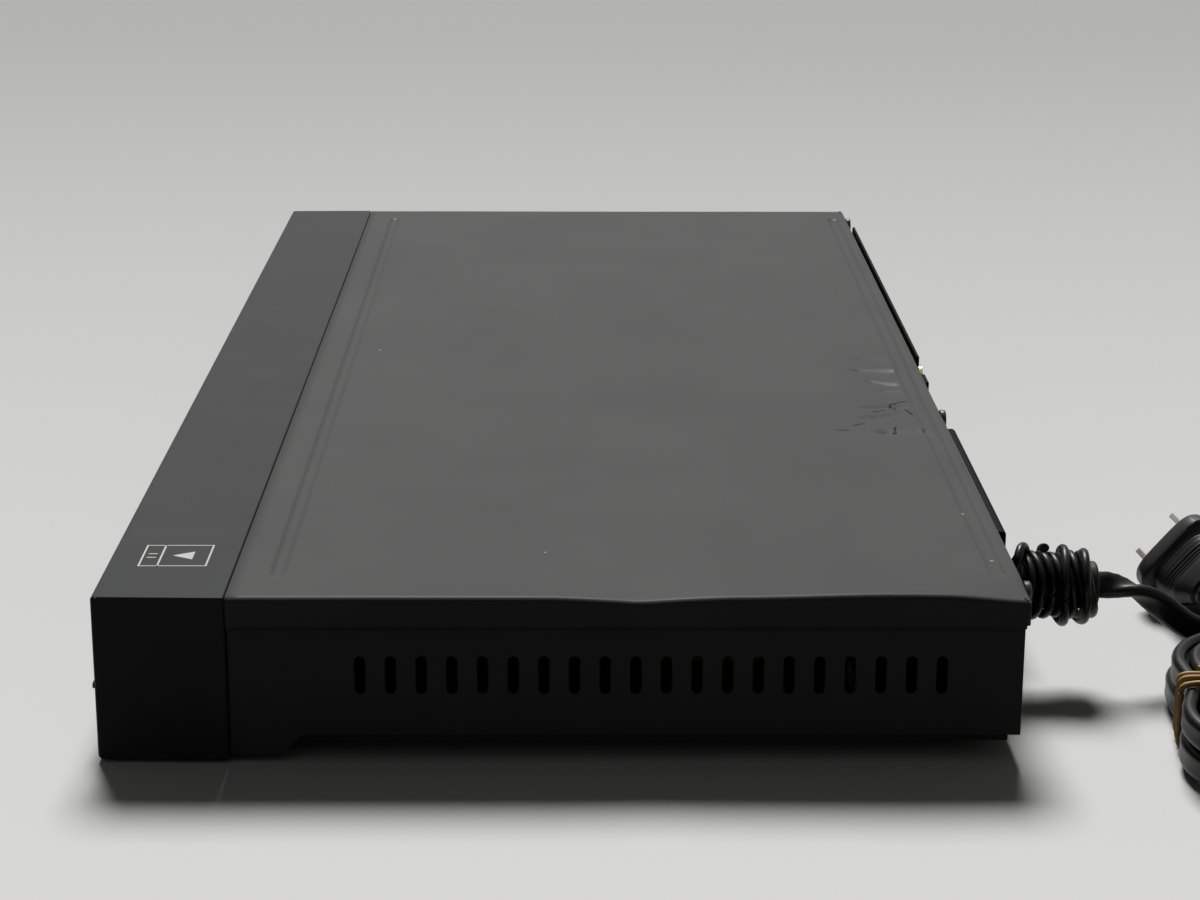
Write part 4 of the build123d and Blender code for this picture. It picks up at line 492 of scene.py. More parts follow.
FINISHES: dict = {
    "cover_paint": DentedPaint(
        **BLACK_PAINT, roughness=0.36, spread=0.10, mottle_scale=24.0, grain_scale=1700.0,
        grain_depth=0.000008, dust=0.35, cracks=CRACKS, chips=CHIPS,
    ),
    "pan_paint": Finish(**BLACK_PAINT, roughness=0.42, grain_scale=1700.0, grain_depth=0.000012, dust=0.25),
    "fascia_plastic": Finish(
        (0.057, 0.0575, 0.058), (0.065, 0.0655, 0.066), roughness=0.38, spread=0.05, specular=0.035,
        grain_scale=3200.0, grain_depth=0.000006, dust=0.15,
    ),
    "key_plastic": Finish((0.010, 0.010, 0.011), (0.013, 0.013, 0.014), roughness=0.34, specular=0.3),
    "window_smoke": Finish((0.004, 0.004, 0.005), (0.006, 0.006, 0.007), roughness=0.06, spread=0.02,
                           grain_depth=0.000001, coat=0.4),
    "lens_red": Finish((0.045, 0.004, 0.006), (0.03, 0.003, 0.004), roughness=0.12, spread=0.03,
                       grain_depth=0.000001, coat=0.5),
    "circuit_board": Finish((0.02, 0.11, 0.04), (0.03, 0.15, 0.06), roughness=0.4, mottle_scale=240.0,
                            grain_scale=900.0, grain_depth=0.00003),
    "switch_plastic": Finish((0.02, 0.02, 0.02), (0.03, 0.03, 0.03), roughness=0.45),
    "display_glass": Finish((0.02, 0.035, 0.035), (0.03, 0.05, 0.05), roughness=0.08, spread=0.02, coat=0.5),
    "screw_steel": Finish((0.06, 0.06, 0.062), (0.10, 0.10, 0.10), roughness=0.34, metallic=1.0),
    "foot_rubber": Finish((0.008, 0.008, 0.008), (0.013, 0.013, 0.013), roughness=0.8, specular=0.3,
                          grain_depth=0.00006),
    "housing_plastic": Finish((0.007, 0.007, 0.007), (0.010, 0.010, 0.010), roughness=0.6, specular=0.03,
                              grain_depth=0.00003, dust=0.3),
    "contact_metal": Finish((0.74, 0.72, 0.66), (0.60, 0.58, 0.53), roughness=0.18, metallic=1.0),
    "insert_plastic": Finish((0.6, 0.55, 0.5), (0.5, 0.46, 0.42), roughness=0.35),
    "coax_metal": Finish((0.78, 0.66, 0.38), (0.62, 0.52, 0.30), roughness=0.2, metallic=1.0),
    "relief_rubber": Finish((0.006, 0.006, 0.006), (0.010, 0.010, 0.010), roughness=0.5, specular=0.3,
                            grain_depth=0.00004),
    "wire_jacket": Finish((0.004, 0.004, 0.004), (0.007, 0.007, 0.007), roughness=0.34, specular=0.22,
                          mottle_scale=300.0, grain_depth=0.00001),
    "cord_jacket": Finish((0.006, 0.006, 0.006), (0.010, 0.010, 0.010), roughness=0.36, spread=0.2,
                          specular=0.28, mottle_scale=180.0, grain_depth=0.00002, dust=0.3),
    "band_rubber": Finish((0.46, 0.27, 0.075), (0.34, 0.19, 0.05), roughness=0.55, mottle=0.9,
                          mottle_scale=260.0, grain_depth=0.00004),
    "plug_plastic": Finish((0.006, 0.006, 0.006), (0.009, 0.009, 0.009), roughness=0.42, specular=0.4,
                           grain_scale=2600.0, grain_depth=0.00003, dust=0.3),
    "blade_metal": Finish((0.70, 0.68, 0.63), (0.52, 0.50, 0.46), roughness=0.26, metallic=1.0),
    "loader_plastic": Finish((0.018, 0.018, 0.020), (0.024, 0.024, 0.026), roughness=0.5),
    "tray_plastic": Finish((0.010, 0.010, 0.012), (0.014, 0.014, 0.016), roughness=0.46, grain_scale=1500.0,
                           grain_depth=0.00004, specular=0.4),
    "gear_plastic": Finish((0.62, 0.60, 0.53), (0.55, 0.53, 0.46), roughness=0.42),
    "belt_rubber": Finish((0.01, 0.01, 0.01), (0.015, 0.015, 0.015), roughness=0.75),
    "motor_steel": Finish((0.55, 0.55, 0.55), (0.46, 0.46, 0.46), roughness=0.3, metallic=1.0),
    "traverse_steel": Finish((0.56, 0.56, 0.54), (0.48, 0.48, 0.46), roughness=0.38, metallic=1.0),
    "rod_steel": Finish((0.7, 0.7, 0.7), (0.62, 0.62, 0.62), roughness=0.12, metallic=1.0),
    "turntable_plastic": Finish((0.014, 0.014, 0.014), (0.02, 0.02, 0.02), roughness=0.55),
    "sled_metal": Finish((0.42, 0.42, 0.43), (0.35, 0.35, 0.36), roughness=0.45, metallic=1.0),
    "lens_glass": Finish((0.25, 0.32, 0.55), (0.3, 0.25, 0.6), roughness=0.03, spread=0.01, transmission=0.6),
    "chip_plastic": Finish((0.012, 0.012, 0.012), (0.02, 0.02, 0.02), roughness=0.5),
    "winding_tape": Finish((0.62, 0.45, 0.05), (0.52, 0.36, 0.04), roughness=0.3),
    "can_sleeve": Finish((0.01, 0.014, 0.06), (0.014, 0.02, 0.08), roughness=0.3),
    "sink_metal": Finish((0.62, 0.62, 0.63), (0.55, 0.55, 0.56), roughness=0.35, metallic=1.0),
    "fuse_glass": Finish((0.75, 0.8, 0.8), (0.7, 0.75, 0.75), roughness=0.05, spread=0.01, transmission=0.8),
    "cable_jacket": Finish((0.55, 0.55, 0.52), (0.48, 0.48, 0.46), roughness=0.5),
}
PRINT = Finish((0.50, 0.50, 0.48), (0.42, 0.42, 0.40), roughness=0.6, grain_depth=0.000004)


class JackColour(Enum):
    """The usual colours of the sockets' insulators."""

    WHITE = (0.72, 0.72, 0.68)
    RED = (0.42, 0.012, 0.014)
    YELLOW = (0.68, 0.44, 0.02)
    BLUE = (0.02, 0.06, 0.36)
    GREEN = (0.02, 0.22, 0.05)
    ORANGE = (0.60, 0.16, 0.01)


class Workshop:
    """Makes the materials, dresses the CAD nodes and adds finished pieces."""

    MERGE_WITHIN = 2e-6
    FLAT_WITHIN = radians(0.4)
    SHARP_OVER = radians(38)

    def __init__(self) -> None:
        """Reads each node's slot and body, and makes a material for every slot."""
        self.slots = {part["node"]: part["material_slot"] for part in frame["record"]["subparts"]}
        self.bodies = {
            node: body
            for body, nodes in frame["record"]["behaviour"]["bodies"].items()
            for node in nodes
        }
        self.materials = {slot: finish.material(slot) for slot, finish in FINISHES.items()}
        self.print = PRINT.material("pale_print")

    def dress_nodes(self) -> None:
        """Gives every CAD node the material of its slot."""
        for name, piece in frame["nodes"].items():
            piece.data.materials.clear()
            piece.data.materials.append(self.materials[self.slots[name]])

    def piece(
        self, name: str, shape: bmesh.types.BMesh, slot: str, body: str = CASE, crease: float = 35.0,
        material: bpy.types.Material | None = None,
    ) -> bpy.types.Object:
        """A finished piece from a bmesh, which is freed.

        Args:
            name: the piece's name.
            shape: its faces, in the row frame.
            slot: the record's slot that its finish comes from.
            body: the body that it rides on.
            crease: the angle in degrees past which an edge stays sharp.
            material: another material than the slot's.

        Returns:
            The piece.
        """
        mesh = bpy.data.meshes.new(name)
        shape.to_mesh(mesh)
        shape.free()
        mesh.shade_smooth()
        mesh.set_sharp_from_angle(angle=radians(crease))
        mesh.materials.append(material or self.materials[slot])
        made = bpy.data.objects.new(name, mesh)
        bpy.context.scene.collection.objects.link(made)
        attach(made, body)
        log.info("%s: %d faces", name, len(mesh.polygons))
        return made

    def crisp_copy(self, node: str, edge: float, name: str | None = None) -> bpy.types.Object:
        """A copy of a CAD node with its flat faces merged and its edges broken.

        Args:
            node: the CAD node that the copy stands for.
            edge: the width of the broken edges in metres.
            name: the piece's name, or the node's with _dressed.

        Returns:
            The piece.
        """
        shape = bmesh.new()
        shape.from_mesh(frame["nodes"][node].data)
        bmesh.ops.remove_doubles(shape, verts=shape.verts, dist=self.MERGE_WITHIN)
        bmesh.ops.dissolve_limit(
            shape, angle_limit=self.FLAT_WITHIN, verts=shape.verts, edges=shape.edges, delimit=set()
        )
        made = self.piece(name or f"{node}_dressed", shape, self.slots[node], self.bodies[node])
        rounding = made.modifiers.new("edges", "BEVEL")
        rounding.width = edge
        rounding.segments = 2
        rounding.limit_method = "ANGLE"
        rounding.angle_limit = self.SHARP_OVER
        rounding.use_clamp_overlap = False
        rounding.miter_outer = "MITER_ARC"
        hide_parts(node)
        return made


def box_matrix(low: Sequence[float], high: Sequence[float]) -> Matrix:
    """The matrix that turns a unit cube into the box between two corners.

    Args:
        low: the box's lowest corner.
        high: its highest corner.

    Returns:
        The matrix.
    """
    middle = Vector([(a + b) / 2 for a, b in zip(low, high)])
    size = Vector([b - a for a, b in zip(low, high)])
    return Matrix.Translation(middle) @ Matrix.Diagonal((*size, 1.0))


def add_box(shape: bmesh.types.BMesh, low: Sequence[float], high: Sequence[float]) -> list:
    """Adds a box to a bmesh and returns its vertices."""
    return bmesh.ops.create_cube(shape, size=1.0, matrix=box_matrix(low, high))["verts"]


def cut_lines(shape: bmesh.types.BMesh, axis: int, places: Sequence[float]) -> None:
    """Cuts every face of a bmesh along planes across one axis.

    Args:
        shape: the bmesh to cut.
        axis: the axis that the planes stand across.
        places: the planes' places.
    """
    normal = Vector((0, 0, 0))
    normal[axis] = 1.0
    for place in places:
        everything = shape.verts[:] + shape.edges[:] + shape.faces[:]
        bmesh.ops.bisect_plane(
            shape, geom=everything, dist=SAME_POINT, plane_co=normal * place, plane_no=normal
        )


def spread_places(low: float, high: float, step: float) -> list:
    """Even places between two ends, the ends left out."""
    count = max(2, ceil((high - low) / step))
    return [low + (high - low) * i / count for i in range(1, count)]


@dataclass(frozen=True)
class Fold:
    """A crease pressed into the cover along Y, in millimetres."""

    x: float
    y_from: float
    y_to: float
    depth: float
    width: float
    lean: float = 0.0
    fade: tuple = (0.55, 1.15)

    def drop(self, x: float, y: float) -> float:
        """How far the crease lowers the sheet at a place.

        Args:
            x: the place across the cover.
            y: the place along it.

        Returns:
            The drop in millimetres.
        """
        middle = (self.y_from + self.y_to) / 2
        half = (self.y_to - self.y_from) / 2
        along = 1 - smooth_step(half * self.fade[0], half * self.fade[1], abs(y - middle))
        if along == 0:
            return 0.0
        return self.depth * along * bell(x - self.x - self.lean * (y - middle), self.width)


@dataclass(frozen=True)
class Hollow:
    """A broad shallow dent of the cover, in millimetres."""

    x: float
    y: float
    reach_x: float
    reach_y: float
    depth: float

    def drop(self, x: float, y: float) -> float:
        """How far the dent lowers the sheet at a place."""
        return self.depth * bell(x - self.x, self.reach_x) * bell(y - self.y, self.reach_y)


@dataclass(frozen=True)
class Wave:
    """The slight unevenness of thin sheet, in millimetres."""

    depth: float
    length_x: float
    length_y: float
    layer: float

    def drop(self, x: float, y: float) -> float:
        """How far the unevenness lowers the sheet at a place."""
        return self.depth * noise.noise(Vector((x / self.length_x, y / self.length_y, self.layer)))


@dataclass
class TopCover:
    """The folded cover with its beads, dents and creases. Sizes in millimetres."""

    shop: Workshop
    sheet: float = 0.8
    bend: float = 1.4
    corner: float = 0.9
    rear_flange: float = 6.5
    bead_depth: float = 0.5
    bead_half_length: float = 200.0
    bead_soften: float = 0.75
    front_bead: tuple = (-65.8, 2.8)
    rear_bead: tuple = (95.7, 3.3)
    coarse_step: float = 4.0
    fine_step: float = 1.1
    along_step: float = 3.0
    bead_end_cuts: tuple = (-3.6, 0.6, 8)
    edge_cuts: tuple = (196.0, 2.0, 9)
    bead_cuts: int = 7
    bead_cut_share: float = 0.125
    dented_x: tuple = (-4.0, 92.0)
    dented_y: tuple = (64.0, 99.0)
    folds: tuple = (
        Fold(6.5, 82.0, 92.5, 0.42, 1.05),
        Fold(18.6, 80.0, 95.0, 0.8, 1.3),
        Fold(31.5, 83.0, 94.0, 0.66, 1.4, 0.35),
        Fold(40.5, 86.0, 93.5, 0.36, 1.1, 0.3),
        Fold(57.5, 78.5, 94.0, 0.5, 1.2, -0.3),
        Fold(67.5, 77.0, 90.0, 0.38, 1.0, -0.45),
        Fold(83.0, 80.5, 96.0, 0.95, 1.7, -0.12),
    )
    hollows: tuple = (Hollow(46, 94, 26, 13, 0.75), Hollow(24, 90, 13, 8, 0.30))
    waves: tuple = (Wave(0.10, 95, 70, 0.4), Wave(0.035, 22, 18, 3.7))
    dip_x: tuple = (192.0, 214.0)
    dip_y: float = 15.2
    dip_reach: float = 20.0
    dip_depth: float = 1.0
    dip_power: float = 1.4
    bulge_x: tuple = (168.0, 214.0)
    bulge_y: float = 72.0
    bulge_reach: float = 24.0
    bulge_height: float = 0.75
    corner_drop: float = 0.9
    corner_x: tuple = (196.0, 215.0)
    corner_y: tuple = (82.0, 101.0)
    half_width: float = 215.0
    rear_y: float = 100.9
    stiff_margin: float = 2.2
    edge_share: float = 0.35
    flat_over: float = 0.99

    def sheet_drop(self, x: float, y: float) -> float:
        """Height that the top loses at a place, without the beads.

        Args:
            x: the place across the cover.
            y: the place along it.

        Returns:
            The drop in millimetres.
        """
        lowered = 0.0
        for form in (*self.folds, *self.hollows, *self.waves):
            lowered += form.drop(x, y)
        return lowered

    def edge_drop(self, x: float, y: float) -> float:
        """Height that the right-hand edge loses: a dip, a bulge and a pressed corner.

        Args:
            x: the place across the cover.
            y: the place along it.

        Returns:
            The drop in millimetres.
        """
        beside = max(0.0, 1 - abs(y - self.dip_y) / self.dip_reach)
        dip = self.dip_depth * beside ** self.dip_power * smooth_step(*self.dip_x, x)
        bulge = self.bulge_height * bell(y - self.bulge_y, self.bulge_reach) * smooth_step(*self.bulge_x, x)
        press = self.corner_drop * smooth_step(*self.corner_y, y) * smooth_step(*self.corner_x, x)
        return dip - bulge + press

    def bead_drop(self, x: float, y: float) -> float:
        """Depth of the two pressed beads at a place.

        Args:
            x: the place across the cover.
            y: the place along it.

        Returns:
            The depth in millimetres.
        """
        depth = 0.0
        for middle, width in (self.front_bead, self.rear_bead):
            beyond = max(abs(x) - (self.bead_half_length - width / 2), 0.0)
            away = hypot(beyond, y - middle)
            inside, outside = width / 2 - self.bead_soften, width / 2 + self.bead_soften
            depth += self.bead_depth * (1 - smooth_step(inside, outside, away))
        return depth

    def lines_across(self, low: float, high: float) -> list:
        """Where the sheet is cut across X.

        Args:
            low: the cover's lowest X.
            high: its highest X.

        Returns:
            The places in order.
        """
        places = spread_places(low, high, self.coarse_step)
        places += spread_places(*self.dented_x, self.fine_step)
        before, step, count = self.bead_end_cuts
        for side in (-1, 1):
            places += [side * place for place in even_steps(self.bead_half_length + before, step, count)]
        places += even_steps(*self.edge_cuts)
        return sorted(set(round(place, 3) for place in places))

    def lines_along(self, low: float, high: float) -> list:
        """Where the sheet is cut across Y.

        Args:
            low: the cover's lowest Y.
            high: its highest Y.

        Returns:
            The places in order.
        """
        places = spread_places(low, high, self.along_step)
        places += spread_places(*self.dented_y, self.fine_step)
        for middle, width in (self.front_bead, self.rear_bead):
            places += [
                middle + width * self.bead_cut_share * i
                for i in range(-self.bead_cuts, self.bead_cuts + 1)
            ]
        return sorted(set(round(place, 3) for place in places))

    def top_edges(self, shape: bmesh.types.BMesh, top: float) -> list:
        """The edges between two faces that lie at the height of the top."""
        return [
            e for e in shape.edges
            if not e.is_boundary and all(v.co.z > top - SAME_PLACE for v in e.verts)
        ]

    def build(self) -> bpy.types.Object:
        """Builds the cover from a box that is opened, bent, cut into a fine mesh and dented.

        Returns:
            The piece.
        """
        low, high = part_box("top_cover")
        shape = bmesh.new()
        add_box(shape, low, high)
        shape.normal_update()
        open_sides = [f for f in shape.faces if f.normal.z < -FACING or f.normal.y < -FACING]
        bmesh.ops.delete(shape, geom=open_sides, context="FACES")
        folded = self.top_edges(shape, high.z)
        upright = [e for e in shape.edges if not e.is_boundary and e not in folded]
        bmesh.ops.bevel(
            shape, geom=upright, offset=self.corner * MM, offset_type="OFFSET", segments=3,
            profile=0.5, affect="EDGES", material=-1,
        )
        bmesh.ops.bevel(
            shape, geom=self.top_edges(shape, high.z), offset=self.bend * MM, offset_type="OFFSET",
            segments=5, profile=0.5, affect="EDGES", material=-1,
        )
        cut_lines(shape, 1, [y * MM for y in self.lines_along(low.y / MM, high.y / MM)])
        cut_lines(shape, 0, [x * MM for x in self.lines_across(low.x / MM, high.x / MM)])
        rear_low = high.z - self.rear_flange * MM
        cut_lines(shape, 2, [rear_low])
        shape.normal_update()
        corner_from = high.y - self.corner * MM
        trimmed = [
            f for f in shape.faces
            if f.calc_center_median().y > corner_from and f.calc_center_median().z < rear_low
        ]
        bmesh.ops.delete(shape, geom=trimmed, context="FACES")
        span = high.z - low.z
        for vertex in shape.verts:
            x, y = vertex.co.x / MM, vertex.co.y / MM
            share = smooth_step(0.0, 1.0, (vertex.co.z - low.z) / span)
            inner = smooth_step(0.0, self.stiff_margin, min(self.half_width - abs(x), self.rear_y - y))
            kept = self.edge_share + (1 - self.edge_share) * inner
            drop = self.edge_drop(x, y) + self.sheet_drop(x, y) * kept
            pressed = self.bead_drop(x, y) if share > self.flat_over else 0.0
            vertex.co.z -= MM * (share * drop + pressed)
        cover = self.shop.piece("cover_sheet", shape, "cover_paint", crease=50.0)
        wall = cover.modifiers.new("wall", "SOLIDIFY")
        wall.thickness = self.sheet * MM
        wall.offset = -1.0
        wall.use_even_offset = False
        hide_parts("top_cover")
        return cover


@dataclass
class Fascia:
    """The moulded front with its print. Sizes in millimetres."""

    shop: Workshop
    fascia_edge: float = 0.35
    door_edge: float = 0.25
    key_edge: float = 0.22
    print_thick: float = 0.03
    badge_x: tuple = (178.8, 193.7)
    badge_y: tuple = (-97.9, -82.3)
    badge_line: float = 0.42
    badge_split: float = 0.27
    badge_triangle: float = 3.2
    badge_bars: tuple = (-1.5, 1.1)
    badge_bar: float = 0.5
    badge_bar_ends: tuple = (1.2, 0.9)
    mark: float = 1.5
    mark_rise: float = 2.4
    arrow_share: float = 0.62
    line: float = 0.3
    underline: float = 0.35
    underline_drop: float = 0.75
    open_rise: float = 0.3
    power_bar: float = 1.1
    power_rise: float = 0.4
    pair_offset: float = 0.5
    skip_bar: float = 1.35
    ring_r: float = 1.0
    ring_reach: float = 1.3
    ring_cap: float = 0.02
    ring_arc: float = radians(250)
    ring_steps: int = 20
    ring_turn: float = radians(-35)

    def plate(self, shape: bmesh.types.BMesh, x: tuple, y: tuple) -> None:
        """Adds a flat print on the fascia's top.

        Args:
            shape: the bmesh that it joins.
            x: its lowest and highest X.
            y: its lowest and highest Y.
        """
        top = CAD_HIGH.z
        low = (x[0] * MM, y[0] * MM, top - 2 * self.print_thick * MM)
        high = (x[1] * MM, y[1] * MM, top + self.print_thick * MM)
        add_box(shape, low, high)

    def triangle(self, shape: bmesh.types.BMesh, radius: float, place: Matrix) -> None:
        """Adds a flat triangle that points along its own X, a print's thickness high.

        Args:
            shape: the bmesh that it joins.
            radius: from its middle to a corner.
            place: its middle and turn.
        """
        tip = bmesh.ops.create_cone(
            shape, cap_ends=True, segments=3, radius1=radius * MM, radius2=radius * MM,
            depth=3 * self.print_thick * MM, matrix=place @ Matrix.Rotation(-pi / 2, 4, "Z"),
        )
        bmesh.ops.recalc_face_normals(shape, faces=list({f for v in tip["verts"] for f in v.link_faces}))

    def badge(self) -> bpy.types.Object:
        """A thin outlined square with a play sign and two bars, printed on the fascia's top.

        Returns:
            The piece.
        """
        shape = bmesh.new()
        (x0, x1), (y0, y1), line = self.badge_x, self.badge_y, self.badge_line
        divider = y0 + self.badge_split * (y1 - y0)
        self.plate(shape, (x0, x1), (y0, y0 + line))
        self.plate(shape, (x0, x1), (y1 - line, y1))
        self.plate(shape, (x0, x1), (divider, divider + line))
        self.plate(shape, (x0, x0 + line), (y0 + line, y1 - line))
        self.plate(shape, (x1 - line, x1), (y0 + line, y1 - line))
        middle_x = (x0 + x1) / 2
        middle_y = (divider + line + y1) / 2
        top = CAD_HIGH.z - self.print_thick * MM / 2
        place = Matrix.Translation((middle_x * MM, middle_y * MM, top)) @ Matrix.Rotation(-pi / 2, 4, "Z")
        self.triangle(shape, self.badge_triangle, place)
        bar_y = (y0 + self.badge_bar_ends[0], divider - self.badge_bar_ends[1])
        for offset in self.badge_bars:
            self.plate(shape, (middle_x + offset, middle_x + offset + self.badge_bar), bar_y)
        return self.shop.piece("fascia_badge_print", shape, "fascia_plastic", material=self.shop.print)

    def signs(self) -> bpy.types.Object:
        """The plain transport signs printed above the keys.

        Returns:
            The piece.
        """
        shape = bmesh.new()
        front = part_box("front_fascia")[0].y
        turn = Matrix.Rotation(pi / 2, 4, "X")

        def bar(x: float, z: float, width: float, height: float) -> None:
            """Adds an upright print on the front face.

            Args:
                x: its middle across.
                z: its middle height.
                width: its size across.
                height: its size upward.
            """
            add_box(
                shape,
                ((x - width / 2) * MM, front - self.print_thick * MM, (z - height / 2) * MM),
                ((x + width / 2) * MM, front + 2 * self.print_thick * MM, (z + height / 2) * MM),
            )

        def arrow(x: float, z: float, way: float) -> None:
            """Adds a print of a triangle that points along X or up.

            Args:
                x: its middle across.
                z: its middle height.
                way: the turn from pointing along X.
            """
            place = Matrix.Translation((x * MM, front + self.print_thick * MM / 2, z * MM)) @ turn
            self.triangle(shape, self.mark * self.arrow_share, place @ Matrix.Rotation(way, 4, "Z"))

        for key in (node for node in self.shop.bodies if node.endswith("_button")):
            low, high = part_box(key)
            x = (low.x + high.x) / 2 / MM
            z = high.z / MM + self.mark_rise
            if key == "play_button":
                arrow(x, z, 0)
            elif key == "stop_button":
                bar(x, z, self.mark, self.mark)
            elif key == "open_close_button":
                arrow(x, z + self.open_rise, pi / 2)
                bar(x, z - self.underline_drop, self.mark, self.underline)
            elif key == "power_button":
                bar(x, z + self.power_rise, self.line, self.power_bar)
                self.ring(shape, x, z, front)
            else:
                forward = "forward" in key
                arrow(x - self.pair_offset, z, 0 if forward else pi)
                arrow(x + self.pair_offset, z, 0 if forward else pi)
                bar(x + (self.skip_bar if forward else -self.skip_bar), z, self.line, self.mark)
        return self.shop.piece("key_signs_print", shape, "fascia_plastic", material=self.shop.print)

    def ring(self, shape: bmesh.types.BMesh, x: float, z: float, front: float) -> None:
        """Adds the open ring of the power sign.

        Args:
            shape: the bmesh that it joins.
            x: its middle across.
            z: its middle height.
            front: the front face's Y in metres.
        """
        middle = Vector((x * MM, front, z * MM))
        start = bmesh.ops.create_cube(
            shape, size=1.0,
            matrix=Matrix.Translation(middle + Vector((self.ring_r * MM, 0, 0)))
            @ Matrix.Diagonal((self.line * MM, 3 * self.print_thick * MM, self.ring_cap * MM, 1.0)),
        )["verts"]
        upper = [f for v in start for f in v.link_faces if f.calc_center_median().z > middle.z]
        cap = max(upper, key=lambda f: f.calc_center_median().z)
        bmesh.ops.spin(
            shape, geom=[cap], cent=middle, axis=(0, 1, 0), angle=self.ring_arc, steps=self.ring_steps,
            use_merge=False,
        )
        turned = [v for v in shape.verts if (v.co - middle).length < self.ring_reach * MM]
        faces = list({f for v in turned for f in v.link_faces})
        bmesh.ops.rotate(shape, verts=turned, cent=middle, matrix=Matrix.Rotation(self.ring_turn, 3, "Y"))
        bmesh.ops.recalc_face_normals(shape, faces=faces)

    def build(self) -> None:
        """Dresses the front's own pieces."""
        self.shop.crisp_copy("front_fascia", self.fascia_edge * MM)
        self.shop.crisp_copy("tray_door", self.door_edge * MM)
        for node in self.shop.bodies:
            if node.endswith("_button"):
                self.shop.crisp_copy(node, self.key_edge * MM)
        self.badge()
        self.signs()


@dataclass
class RearSide:
    """The sockets and sheet metal seen from behind. Sizes in millimetres."""

    shop: Workshop
    edge: float = 0.25
    insert_edge: float = 0.15
    jack_edge: float = 0.12
    foot_edge: float = 0.5
    shade_share: float = 0.8
    pair_colours: tuple = (
        JackColour.YELLOW, JackColour.ORANGE, JackColour.WHITE, JackColour.RED,
        JackColour.WHITE, JackColour.RED, JackColour.WHITE, JackColour.RED,
    )
    row_colours: tuple = (
        JackColour.GREEN, JackColour.BLUE, JackColour.RED, JackColour.YELLOW, JackColour.ORANGE,
    )

    def inserts(self) -> bpy.types.Object:
        """The insulators, each in its usual colour.

        Returns:
            The piece.
        """
        piece = self.shop.crisp_copy("rca_inserts", self.insert_edge * MM)
        colours = list(JackColour)
        piece.data.materials.clear()
        for colour in colours:
            shade = tuple(part * self.shade_share for part in colour.value)
            finish = Finish(colour.value, shade, roughness=0.3)
            piece.data.materials.append(finish.material(f"jack_{colour.name.lower()}"))
        columns = sorted({round(f.center.x, 3) for f in piece.data.polygons})
        groups = self.group_columns(columns)
        low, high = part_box("av_jack_block")
        split = high.x
        middle_z = (low.z + high.z) / 2
        left = [group for group in groups if group < split]
        right = [group for group in groups if group > split]
        for face in piece.data.polygons:
            if face.center.x < split:
                column = min(range(len(left)), key=lambda i: abs(left[i] - face.center.x))
                place = 2 * column + (1 if face.center.z < middle_z else 0)
                colour = self.pair_colours[place % len(self.pair_colours)]
            else:
                column = min(range(len(right)), key=lambda i: abs(right[i] - face.center.x))
                colour = self.row_colours[column % len(self.row_colours)]
            face.material_index = colours.index(colour)
        return piece

    def group_columns(self, places: Sequence[float], apart: float = 0.0095) -> list:
        """The middles of the groups that lie closer together than apart.

        Args:
            places: the places in order.
            apart: the least gap between two groups.

        Returns:
            The middle of each group.
        """
        groups: list = []
        for place in places:
            if groups and place - groups[-1][0] < apart:
                groups[-1].append(place)
            else:
                groups.append([place])
        return [(group[0] + group[-1]) / 2 for group in groups]

    def build(self) -> None:
        """Dresses the rear's pieces."""
        for node in ("av_jack_block", "video_jack_block", "rear_panel", "bottom_pan"):
            self.shop.crisp_copy(node, self.edge * MM)
        for node in ("rca_sleeves", "coax_connector", "cover_screws"):
            self.shop.crisp_copy(node, self.jack_edge * MM)
        self.inserts()
        for node in ("front_feet", "rear_feet"):
            self.shop.crisp_copy(node, self.foot_edge * MM)


